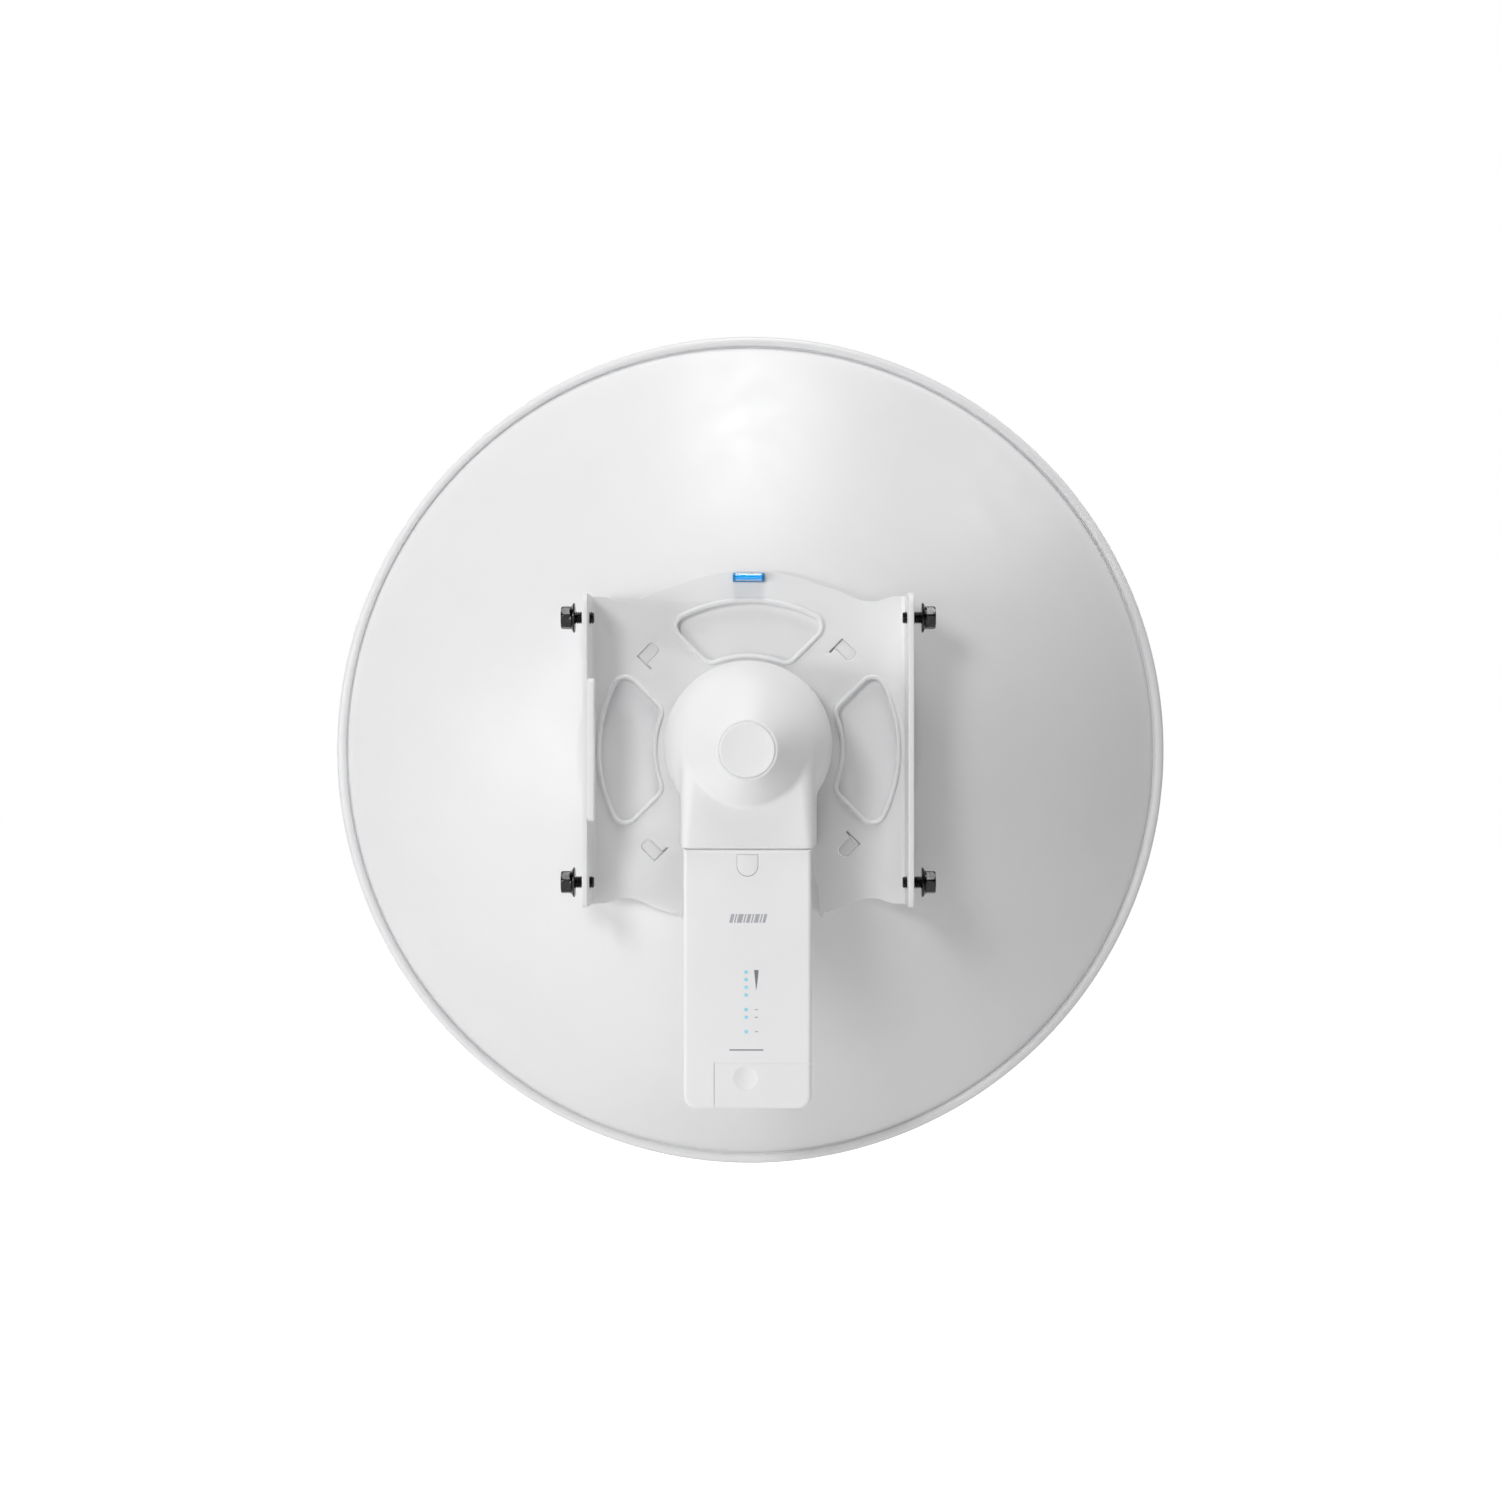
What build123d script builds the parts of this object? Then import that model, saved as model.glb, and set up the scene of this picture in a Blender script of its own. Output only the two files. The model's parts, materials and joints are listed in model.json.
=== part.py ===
from build123d import *
import math
import os

# Outdoor wireless bridge: parabolic dish with a rear-loaded radio unit.
# Frame: origin on the boresight axis at the back face of the dish's flat seat.
# +Y is the boresight (the way the dish looks), +Z is up, +X completes the frame.

os.makedirs("parts", exist_ok=True)

# ---------------------------------------------------------------- dimensions
DISH_R = 210.0          # over the rolled rim
DISH_T = 1.2            # sheet thickness
SEAT_R = 82.0           # flat seat radius
FOCAL = 105.0           # focal length of the paraboloid
BEAD_R = 2.5            # rolled rim bead radius
FEED_HOLE_R = 22.6      # central hole in dish and bracket
HOUSING_SCREW_R = 32.0  # radius of the four housing screws

PLATE_T = 2.5           # bracket sheet
PLATE_R = 86.2          # central disc of the bracket
FLANGE_X = 77.6         # outer face of the side flanges
FLANGE_D = 42.0         # flange edge behind the dish seat
FLANGE_Z = 73.8         # half height of the flanges at the plate
WINDOW_RI, WINDOW_RO = 45.0, 72.0
BOLT_Z, BOLT_Y = 62.6, -22.0
BOLT_R = 3.0
BOLT_TRAVEL = 4.3

DOME_CZ = 2.5           # centre height of the dome's base circle
DOME_R = 39.5
SLEEVE_HW = 30.3        # half width of the sleeve at its back face
SLEEVE_BACK = -68.0
SLEEVE_Z = -45.0        # lower edge of the sleeve

RADIO_HW = 29.4
RADIO_BACK, RADIO_FRONT = -66.0, -34.0
RADIO_TOP, RADIO_BOT = -45.4, -164.8
NECK_HW, NECK_BACK, NECK_FRONT, NECK_TOP = 26.7, -63.3, -36.7, -28.0
WALL = 2.2
SPLIT_Y = -50.0

WG_RI, WG_RO = 20.0, 22.0   # circular waveguide bore and outside


def box(x0, x1, y0, y1, z0, z1):
    return Pos((x0 + x1) / 2, (y0 + y1) / 2, (z0 + z1) / 2) * Box(x1 - x0, y1 - y0, z1 - z0)


def cyl_y(r, y0, y1, x=0.0, z=0.0):
    return Pos(x, (y0 + y1) / 2, z) * Rot(90, 0, 0) * Cylinder(r, y1 - y0)


def cyl_x(r, x0, x1, y=0.0, z=0.0):
    return Pos((x0 + x1) / 2, y, z) * Rot(0, 90, 0) * Cylinder(r, x1 - x0)


def cyl_z(r, z0, z1, x=0.0, y=0.0):
    return Pos(x, y, (z0 + z1) / 2) * Cylinder(r, z1 - z0)


def prism_y(face_xz, y0, y1):
    """Face drawn in X (right) and Z (up), carried from y0 to y1."""
    pl = Plane(origin=(0, y0, 0), x_dir=(1, 0, 0), z_dir=(0, -1, 0))
    return extrude(pl * face_xz, amount=-(y1 - y0))


def prism_z(face_xy, z0, z1):
    return extrude(Plane.XY.offset(z0) * face_xy, amount=z1 - z0)


def turn_y(points):
    """Revolve a closed outline of (radius, y) points about the boresight axis."""
    return revolve(make_face(Polyline(*points, close=True)), axis=Axis.Y)


def one(shape):
    s = shape.solids()
    assert len(s) == 1, [(round(q.volume, 2), q.center()) for q in s]
    return s[0]


def keep(shape, name):
    export_step(shape, "parts/" + name + ".step")


def group(shapes):
    return Compound(children=[s.solids()[0] for s in shapes])


def at_tab(angle_deg, f):
    """Put a face drawn about a tab's middle (X along the tab, Y outwards) in its place."""
    a = math.radians(angle_deg)
    return Pos(66.75 * math.cos(a), 66.75 * math.sin(a), 0) * Rot(0, 0, angle_deg - 90) * f


def d_tab(angle_deg, grow=0.0):
    """Outline of one locating tab: square at one end, rounded at the other, as a face in X, Z."""
    x0, x1, hh, r = -5.2 - grow, 4.3 + grow, 2.85 + grow, 2.4
    q = r * math.sqrt(0.5)
    f = make_face(Wire([
        Line((x0, -hh), (x1 - r, -hh)), ThreePointArc((x1 - r, -hh), (x1 - r + q, -hh + r - q), (x1, -hh + r)),
        Line((x1, -hh + r), (x1, hh - r)), ThreePointArc((x1, hh - r), (x1 - r + q, hh - r + q), (x1 - r, hh)),
        Line((x1 - r, hh), (x0, hh)), Line((x0, hh), (x0, -hh))]))
    return at_tab(angle_deg, f)


def tab_slit(angle_deg):
    """Relief slit across the tab's square end, longer than the tab is wide."""
    return at_tab(angle_deg, Pos(-5.6, -1.6) * RectangleRounded(0.9, 9.0, 0.44))


TAB_ANGLES = [45, 135, 225, 315]
SCREW_XZ = [(sx * HOUSING_SCREW_R * math.sqrt(0.5), sz * HOUSING_SCREW_R * math.sqrt(0.5))
            for sx in (-1, 1) for sz in (-1, 1)]

# ------------------------------------------------------------ dish reflector
slope0 = SEAT_R ** 2
N = 22
back = []
for i in range(N + 1):
    r = SEAT_R + (205.2 - SEAT_R) * i / N
    back.append((r, (r * r - slope0) / (4 * FOCAL)))


def front_of(r, y):
    s = r / (2 * FOCAL)
    n = math.hypot(1, s)
    return (r - DISH_T * s / n, y + DISH_T / n)


front = [front_of(r, y) for r, y in back]
front[0] = (SEAT_R - 0.3, DISH_T)
sheet = make_face(
    Wire([
        Line((FEED_HOLE_R, 0), (SEAT_R, 0)),
        Spline(*back),
        Line(back[-1], front[-1]),
        Spline(*front[::-1]),
        Line(front[0], (FEED_HOLE_R, DISH_T)),
        Line((FEED_HOLE_R, DISH_T), (FEED_HOLE_R, 0)),
    ])
)
rim_r, rim_y = back[-1]
bead_c = (DISH_R - BEAD_R, rim_y + 0.4)
ring = Pos(bead_c[0], bead_c[1]) * (Circle(BEAD_R) - Circle(BEAD_R - 1.1))
slit = Pos(bead_c[0] - 1.1, bead_c[1] - 2.0) * Rot(0, 0, 28) * Rectangle(0.7, 2.6)
dish = revolve(sheet + (ring - slit), axis=Axis.Y)
for a in TAB_ANGLES:
    dish -= prism_y(d_tab(a, 0.15), -1, 3)
for x, z in SCREW_XZ:
    dish -= cyl_y(2.3, -1, 3, x, z)
keep(one(dish), "dish_reflector")
print("rim y", rim_y)

# ------------------------------------------------------------- mount bracket
DIP = [(69.5, 0.0), (65.5, -1.2), (61.4, -2.5), (55.5, -2.3), (50.0, -0.4), (44.0, 2.3), (36.0, 4.9), (25.0, 8.7), (13.0, 11.6)]
upper = [(x, FLANGE_Z + dz) for x, dz in DIP]
top = [(-x, z) for x, z in upper] + [(0.0, PLATE_R)] + upper[::-1]
low = [(x, -z) for x, z in top[::-1]]
outline = make_face(Wire([
    Line((-FLANGE_X, FLANGE_Z), top[0]),
    Spline(*top),
    Line(top[-1], (FLANGE_X, FLANGE_Z)),
    Line((FLANGE_X, FLANGE_Z), (FLANGE_X, -FLANGE_Z)),
    Line((FLANGE_X, -FLANGE_Z), low[0]),
    Spline(*low),
    Line(low[-1], (-FLANGE_X, -FLANGE_Z)),
    Line((-FLANGE_X, -FLANGE_Z), (-FLANGE_X, FLANGE_Z)),
]))
plate = prism_y(outline, -PLATE_T, 0)


def window(ro, ri, half_gap, rc):
    """Annular sector between two diagonal spokes, pointing up, corners rounded."""
    f = (Circle(ro) - Circle(ri))
    k = half_gap * math.sqrt(2)
    wedge = make_face(Polyline((0, k), (120, 120 + k), (-120, 120 + k), close=True))
    f = f & wedge
    f = f.faces()[0] if hasattr(f, "faces") else f
    return fillet(f.vertices(), rc)


SPOKE_HG = 15.3
for k in (0, 1, 3):
    ri = WINDOW_RI
    hole = Rot(0, 0, 90 * k) * window(WINDOW_RO - 1.0, ri + 1.0, SPOKE_HG + 1.0, 5.0)
    rim = Rot(0, 0, 90 * k) * (window(WINDOW_RO + 0.9, ri - 0.9, SPOKE_HG - 0.9, 6.5)
                              - window(WINDOW_RO - 1.0, ri + 1.0, SPOKE_HG + 1.0, 5.0))
    plate += prism_y(rim, -PLATE_T - 1.3, -PLATE_T + 0.5)
    plate -= prism_y(hole, -6, 2)

# two notches open at the lower edge, on either side of a tongue for the earthing screw
for s in (-1, 1):
    notch = make_face(Polyline((s * 14.0, -47.6), (s * 29.4, -47.6), (s * 33.7, -68.6), (s * 33.7, -79.6),
                               (s * 36.9, -82.6), (s * 36.9, -95.0), (s * 14.0, -95.0), close=True))
    notch = fillet(notch.vertices().group_by(Axis.Y)[-1], 3.0)
    plate -= prism_y(notch, -6, 2)

# side flanges: sheet turned back, with a bend radius and a hemmed middle
for s in (-1, 1):
    x0, x1 = FLANGE_X - PLATE_T, FLANGE_X
    fl = box(min(s * x0, s * x1), max(s * x0, s * x1), -FLANGE_D, 0, -FLANGE_Z - 0.0, FLANGE_Z + 0.0)
    fl = fillet(fl.edges().filter_by(Axis.X).group_by(Axis.Y)[0], 6.0)
    xa, xb = min(s * (x0 - 2.0), s * x0), max(s * (x0 - 2.0), s * x0)
    web = box(xa, xb, -PLATE_T - 2.0, -PLATE_T, -FLANGE_Z, FLANGE_Z)
    web -= cyl_z(2.0, -90, 90, s * (x0 - 2.0), -PLATE_T - 2.0)
    plate += fl
    if s < 0:
        # the left flange's near edge is folded back on itself in the middle
        hem = box(-x0, -x0 + 3.3, -FLANGE_D, -FLANGE_D + 9, -33.5, 33.5)
        plate += fillet(hem.edges().filter_by(Axis.X), 2.5)
    plate += web
    xa, xb = min(s * (x0 - 2.0), s * 82), max(s * (x0 - 2.0), s * 82)
    plate -= box(xa, xb, -PLATE_T - 2.0, 1, -90, 90) - cyl_z(PLATE_T + 2.0, -91, 91, s * (x0 - 2.0), -PLATE_T - 2.0)
    for z in (-BOLT_Z, BOLT_Z):
        plate -= cyl_x(BOLT_R + 0.05, min(s * 70, s * 80), max(s * 70, s * 80), BOLT_Y, z)
plate -= cyl_y(FEED_HOLE_R, -5, 2)
for x, z in SCREW_XZ:
    plate -= cyl_y(2.3, -5, 2, x, z)
for a in TAB_ANGLES:
    plate -= prism_y(d_tab(a, 0.0), -PLATE_T - 1, -PLATE_T + 1.1)
    plate += prism_y(d_tab(a, 0.0), -0.95, 1.05)
    plate -= prism_y(tab_slit(a), -PLATE_T - 1, 2)
# tapped hole for the earthing screw, and the level's seat slots
EARTH_Z = -78.4
plate -= cyl_y(2.1, -5, 2, 0, EARTH_Z)
keep(one(plate), "mount_bracket")

# ----------------------------------------------------------------- bolts
HEAD_X = 82.0


def clamp_bolt():
    """Hex flange bolt along +X with its flange's clamping face at HEAD_X."""
    shank = cyl_x(BOLT_R, HEAD_X - 8.0, HEAD_X + 0.5)
    tip = Pos(HEAD_X - 8.5, 0, 0) * Rot(0, 90, 0) * Cone(2.2, BOLT_R, 1.0)
    fl = revolve(make_face(Polyline((0, HEAD_X), (7.1, HEAD_X), (7.1, HEAD_X + 0.9), (5.4, HEAD_X + 2.4),
                                    (0, HEAD_X + 2.4), close=True)), axis=Axis.Y)
    fl = Rot(0, 0, -90) * fl
    hexa = Pos(HEAD_X + 2.3, 0, 0) * Rot(0, 90, 0) * extrude(RegularPolygon(5.0, 6, major_radius=False), amount=4.3)
    cham = revolve(make_face(Polyline((0, HEAD_X - 1), (9, HEAD_X - 1), (9, HEAD_X + 6.6 - 2.0), (5.1, HEAD_X + 6.6),
                                      (0, HEAD_X + 6.6), close=True)), axis=Axis.Y)
    hexa = hexa & (Rot(0, 0, -90) * cham)
    dimple = Pos(HEAD_X + 6.6, 0, 0) * Rot(0, 90, 0) * Cylinder(3.3, 0.8)
    return one(shank + tip + fl + hexa - dimple)


bolt_r = clamp_bolt()
for nm, s, z in (("clamp_bolt_upper_right", 1, BOLT_Z), ("clamp_bolt_lower_right", 1, -BOLT_Z),
                 ("clamp_bolt_upper_left", -1, BOLT_Z), ("clamp_bolt_lower_left", -1, -BOLT_Z)):
    b = bolt_r if s > 0 else Rot(0, 0, 180) * bolt_r
    keep(one(Pos(0, BOLT_Y, z) * b), nm)

# ------------------------------------------------------------------ level
LV_Z, LV_Y = 82.9, -4.65
holder = box(-7.6, 7.6, -3.2, -2.5, LV_Z - 2.2, LV_Z + 2.0)
for s in (-1, 1):
    holder += cyl_x(2.1, min(s * 6.2, s * 7.2), max(s * 6.2, s * 7.2), LV_Y, LV_Z)
    holder += box(min(s * 6.2, s * 7.2), max(s * 6.2, s * 7.2), LV_Y, -2.5, LV_Z - 1.8, LV_Z + 1.8)
vial = cyl_x(1.9, -6.15, 6.15, LV_Y, LV_Z) - cyl_x(1.4, -6.15, 6.15, LV_Y, LV_Z)
vial -= box(-7, 7, -3.2, -1, 70, 90)
fluid = cyl_x(1.38, -6.1, 6.1, LV_Y, LV_Z)
vial = vial.solids().sort_by(SortBy.VOLUME)[-1]
keep(one(holder), "level_holder")
keep(vial, "level_vial")
keep(one(fluid), "level_fluid")

# ------------------------------------------------------------ rear housing
# (depth, radius, centre height) of the dome from its base to the tip
DOME = [(-3.1, 39.9, 2.6), (-14.0, 39.9, 2.6), (-26.0, 39.7, 2.5), (-38.0, 38.8, 2.3), (-48.0, 36.8, 1.9),
        (-55.5, 34.2, 1.5), (-61.5, 31.0, 1.1), (-66.5, 27.2, 0.8), (-72.5, 22.3, 0.4), (-78.0, 17.6, 0.2), (-82.5, 13.8, 0.0)]


def ring_loft(sections):
    pts = [Plane(origin=(0, y, cz), x_dir=(1, 0, 0), z_dir=(0, -1, 0)) * Circle(r) for y, r, cz in sections]
    return loft(pts)


def sleeve_face(hw_front, hw_back, y_front, y_back, rc):
    f = make_face(Polyline((-hw_front, y_front), (hw_front, y_front), (hw_back, y_back), (-hw_back, y_back), close=True))
    return fillet(f.vertices().group_by(Axis.Y)[0], rc)


dome = ring_loft(DOME)
# the sleeve leans in and softens towards the dome, where its top end is buried
sleeve = loft([Pos(0, 0, SLEEVE_Z) * sleeve_face(32.9, SLEEVE_HW, -3.1, SLEEVE_BACK, 5.0),
               Pos(0, 0, -1.0) * sleeve_face(32.9, SLEEVE_HW, -3.1, SLEEVE_BACK + 2.5, 9.0)], ruled=True)
sleeve = fillet(sleeve.edges().filter_by(Axis.X).group_by(Axis.Z)[0].group_by(Axis.Y)[0], 1.2)
body = dome + sleeve
house = body
inner = ring_loft([(y, r - 2.6, cz) for y, r, cz in DOME[:-1]])
inner = inner + cyl_y(34.0, -4.0, -1.0, 0, DOME_CZ)
house -= inner
house -= box(-NECK_HW - 0.35, NECK_HW + 0.35, NECK_BACK - 0.35, NECK_FRONT + 0.35, -60, -20)
house -= box(-28.9, 28.9, -33.4, 0, -42.4, -10)
# groove above the latch's nose, open at the sleeve's lower edge
house -= box(-5.6, 5.6, NECK_BACK - 1.7, NECK_BACK, -60, -37.0)
for x, z in SCREW_XZ:
    boss = cyl_y(4.2, -16.0, -3.1, x, z)
    a = math.degrees(math.atan2(z, x))
    if z > 0:
        rib = Rot(0, -a, 0) * box(30.0, 42.0, -16.0, -3.1, -1.6, 1.6)
    else:
        rib = box(min(x, x + math.copysign(9.0, x)), max(x, x + math.copysign(9.0, x)), -16.0, -3.1, z - 1.6, z + 1.6)
    house += boss + (rib & body)
    house -= cyl_y(1.62, -14.0, 0, x, z)
# thickened tip with a seat for the round cap
house += cyl_y(15.0, -80.0, -77.0) & ring_loft(DOME)
house -= cyl_y(12.9, -84.0, -80.8)
house -= cyl_y(WG_RO + 0.15, -30, 0)
keep(one(house), "rear_housing")
cap = cyl_y(12.8, -82.9, -80.85)
cap = fillet(cap.edges().group_by(Axis.Y)[0], 0.7)
dish_cap = Pos(0, -96.4, 0) * Sphere(14.0)
cap -= dish_cap
keep(one(cap), "dome_cap")

gasket = prism_y(Pos(0, DOME_CZ) * Circle(38.8), -3.05, -2.55)
gasket += box(-32.4, 32.4, -3.05, -2.55, SLEEVE_Z + 0.8, -10)
gasket -= prism_y(Pos(0, DOME_CZ) * Circle(36.8), -4, -1)
gasket -= box(-30.6, 30.6, -4, -1, SLEEVE_Z + 2.4, -10)
for x, z in SCREW_XZ:
    gasket -= cyl_y(4.6, -4, -1, x, z)
keep(one(gasket), "housing_gasket")

screws = []
for x, z in SCREW_XZ:
    sh = cyl_y(1.6, -11.0, 4.3, x, z)
    hd = cyl_y(3.4, 4.25, 6.6, x, z)
    hd = fillet(hd.edges().group_by(Axis.Y)[-1], 0.8)
    sc = sh + hd - Pos(x, 6.0, z) * Rot(90, 0, 0) * extrude(RegularPolygon(1.5, 6), amount=2.4, both=True)
    screws.append(one(sc))
keep(group(screws), "housing_screws")

# --------------------------------------------------------- waveguide and feed
BS_Y = -30.0
wg = cyl_y(WG_RO, BS_Y, 30.0) - cyl_y(WG_RI, BS_Y, 31.0)
wg -= cyl_z(3.2, -40, 0, -9.0, BS_Y + 7.0)
wg -= cyl_z(3.2, -40, 0, 9.0, BS_Y + 19.0)
keep(one(wg), "feed_tube")
short = cyl_y(WG_RO, BS_Y - 2.5, BS_Y) + cyl_y(WG_RI - 0.05, BS_Y, BS_Y + 1.5)
short = fillet(short.edges().group_by(Axis.Y)[0], 0.8)
keep(one(short), "waveguide_back_short")
# probe block under the waveguide, carrying two push-in coaxial sockets
PLUGS = [(-10.0, -47.0), (10.0, -47.0)]
feedbody = box(-15.5, 15.5, BS_Y - 2.6 - 21.0, BS_Y - 2.6, -25.2, -17.5)
feedbody = fillet(feedbody.edges().filter_by(Axis.Z), 2.5)
for x, y in PLUGS:
    feedbody -= cyl_z(4.0, -30, -10, x, y)
keep(one(feedbody), "probe_block")
socks = []
for x, y in PLUGS:
    so = cyl_z(3.95, -27.0, -17.5, x, y) - cyl_z(3.2, -28.0, -19.0, x, y)
    so += cyl_z(0.6, -26.0, -18.8, x, y)
    socks.append(one(so))
keep(group(socks), "probe_sockets")
probes = []
for x, y, ye in ((-9.0, BS_Y + 7.0, 0), (9.0, BS_Y + 19.0, 0)):
    p = cyl_z(3.1, -21.9, -19.9, x, y) + cyl_z(0.7, -20.0, -8.5, x, y)
    probes.append(one(p))
keep(group(probes), "waveguide_probes")

ring_f = cyl_y(37.5, DISH_T + 0.05, 4.2) - cyl_y(WG_RO + 0.15, 0, 6)
ring_f = fillet(ring_f.edges().group_by(Axis.Y)[-1].sort_by(SortBy.RADIUS)[-1], 1.2)
for x, z in SCREW_XZ:
    ring_f -= cyl_y(2.0, 0, 6, x, z)
keep(one(ring_f), "feed_flange")
seal = cyl_y(24.0, 4.25, 5.9) - cyl_y(WG_RO + 0.05, 4, 6)
keep(one(seal), "feed_seal")
cov_o = [(24.1, 4.25), (26.6, 4.25), (26.6, 12.0), (25.9, 30.0), (26.6, 60.0), (28.6, 76.0), (31.2, 88.0), (31.2, 92.5),
         (29.6, 95.4), (26.0, 97.0), (0, 97.8)]
cov_i = [(0, 96.0), (25.6, 95.3), (28.2, 94.0), (29.5, 92.0), (29.5, 88.6), (26.9, 76.6), (24.9, 60.5), (24.2, 30.0), (24.1, 12.0)]
cover = turn_y(cov_o + cov_i)
cover = one(cover)
keep(cover, "feed_cover")
cone = turn_y([(0, 18.0), (6.0, 21.0), (WG_RI - 0.05, 30.05), (WG_RO + 0.9, 30.05), (23.4, 34.0), (23.6, 50.0), (24.2, 62.0), (26.0, 76.0),
               (28.4, 88.0), (28.4, 89.5), (12.0, 88.2), (0, 80.0)])
keep(one(cone), "dielectric_cone")
sub = turn_y([(0, 80.2), (12.0, 88.4), (28.4, 89.7), (28.4, 91.2), (0, 91.6)])
keep(one(sub), "subreflector")

# -------------------------------------------------------------- radio unit
HWI = RADIO_HW - WALL


def radio_block(g=0.0):
    """Outer block of the radio unit, shrunk all round by g."""
    f = RectangleRounded(2 * (RADIO_HW - g), RADIO_TOP - RADIO_BOT - 2 * g, 6.0 - min(g, 4.0))
    b = prism_y(Pos(0, (RADIO_TOP + RADIO_BOT) / 2) * f, RADIO_BACK + g, RADIO_FRONT - g)
    return b


def neck_block(g=0.0, extra=0.0):
    return box(-NECK_HW + g, NECK_HW - g, NECK_BACK + g, NECK_FRONT - g, RADIO_TOP - 4.0 - extra, NECK_TOP - g)


outer = radio_block()
# square the block's upper corners so that it meets the sleeve's edge
outer += box(-RADIO_HW, RADIO_HW, RADIO_BACK, RADIO_FRONT, RADIO_TOP - 10, RADIO_TOP)
outer = fillet(outer.edges().filter_by(Axis.Y, reverse=True).group_by(Axis.Y)[0]
               + outer.edges().filter_by(Axis.Y, reverse=True).group_by(Axis.Y)[-1], 1.8)
neck = neck_block()
neck = fillet(neck.edges().filter_by(Axis.Z), 2.0)
outer = outer + neck
BULK = -143.3     # underside of the bulkhead over the cable compartment
PORT_X = -15.4
cav = box(-HWI, HWI, RADIO_BACK + WALL, RADIO_FRONT - WALL, BULK + 2.0, RADIO_TOP - 2.0)
cav = fillet(cav.edges().filter_by(Axis.Z), 1.5)
cav += box(-NECK_HW + 2.0, NECK_HW - 2.0, NECK_BACK + 2.0, NECK_FRONT - 2.0, RADIO_TOP - 4.0, NECK_TOP - 2.0)
comp = box(PORT_X + 2.0, HWI, RADIO_BACK + WALL, RADIO_FRONT - WALL, RADIO_BOT + WALL, BULK)
comp = fillet(comp.edges().filter_by(Axis.Y), 2.0)
pocket = box(-HWI, PORT_X, RADIO_BACK + WALL, RADIO_FRONT - WALL, RADIO_BOT + WALL, BULK)
pocket = fillet(pocket.edges().filter_by(Axis.Y), 2.0)
shell = outer - cav - comp - pocket

rear_half = box(-40, 40, -80, SPLIT_Y - 0.3, -200, 0)
front_half = box(-40, 40, SPLIT_Y + 0.3, -20, -200, 0)
rear = shell & rear_half
front_c = shell & front_half

# port cover: the lower right part of the back shell, from a seam at PORT_X
PC_TOP = -143.8
pc_region = box(PORT_X, 40, -80, SPLIT_Y - 0.3, -180, PC_TOP)
port = (outer - comp - pocket) & box(PORT_X + 0.2, 40, -80, SPLIT_Y - 0.45, -180, PC_TOP - 0.2)
port -= box(PORT_X - 1, PORT_X + 2.6, RADIO_BACK + WALL, SPLIT_Y, -180, -100)
rear -= pc_region
# dividing wall beside the compartment stays with the back shell
rear += box(PORT_X, PORT_X + 2.0, RADIO_BACK + WALL + 0.4, SPLIT_Y - 0.3, RADIO_BOT + WALL + 0.4, BULK)
# finger dimple in the cover
DIMPLE = (-0.9, -150.6)
port -= Pos(DIMPLE[0], RADIO_BACK - 17.4, DIMPLE[1]) * Sphere(18.3)
port = port.solids().sort_by(SortBy.VOLUME)[-1]

# bosses, holes and openings in the two shells
CS = [(-23.8, -53.5), (23.8, -53.5), (-23.8, -137.3), (23.8, -137.3)]
for x, z in CS:
    rear += cyl_y(3.0, RADIO_BACK + WALL - 0.2, -44.0, x, z)
    rear -= cyl_y(1.25, -60.0, -40, x, z)
    front_c += cyl_y(3.4, -43.6, RADIO_FRONT - WALL + 0.2, x, z)
    front_c -= cyl_y(1.7, -50, -30, x, z)
    front_c -= cyl_y(3.1, -36.6, -30, x, z)
LED_Z = [-102.0, -105.4, -109.0, -112.5, -119.2, -122.7, -129.3]
LED_X = -0.6
for z in LED_Z:
    rear -= cyl_y(0.85, -70, -60, LED_X, z)
# latch window in the back face with a slot up to the neck
LZ0, LZ1, LHW = -57.8, -48.2, 4.6
latch_hole = prism_y(make_face(Wire([
    Line((-LHW - 0.3, LZ1 + 0.3), (LHW + 0.3, LZ1 + 0.3)), Line((LHW + 0.3, LZ1 + 0.3), (LHW + 0.3, LZ0 + 4.5)),
    ThreePointArc((LHW + 0.3, LZ0 + 4.5), (0, LZ0 - 0.3), (-LHW - 0.3, LZ0 + 4.5)),
    Line((-LHW - 0.3, LZ0 + 4.5), (-LHW - 0.3, LZ1 + 0.3))])), -70, -60)
rear -= latch_hole
rear -= box(-4.9, 4.9, -64.2, -60.2, LZ1 - 1.0, -35.2)
# jack opening in the bulkhead, cable slot in the bottom wall
JX0, JX1, JY0, JY1, JZ0, JZ1 = -0.6, 15.4, -49.5, -36.4, -143.7, -122.2
front_c -= box(JX0 - 0.2, JX1 + 0.2, -51, JY1 + 0.2, -145, -139.8)
rear -= box(JX0 - 0.2, JX1 + 0.2, -52, -48, -145, -139.8)
CX, CY = 7.4, -42.0
slot = box(CX - 5.6, CX + 5.6, -52, CY, -170, RADIO_BOT + WALL + 0.2) + cyl_z(5.6, -170, RADIO_BOT + WALL + 0.2, CX, CY)
front_c -= slot
front_c -= cyl_z(1.9, -145, -139.8, -6.2, -42.0)
for x, y in ((-10.0, -47.0), (10.0, -47.0)):
    rear -= cyl_z(2.95, -36, -20, x, y)
    front_c -= cyl_z(2.95, -36, -20, x, y)
keep(one(rear.solids().sort_by(SortBy.VOLUME)[-1]), "radio_rear_case")
keep(one(front_c.solids().sort_by(SortBy.VOLUME)[-1]), "radio_front_case")
keep(port, "port_cover")
print("solids", len(rear.solids()), len(front_c.solids()))

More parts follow.
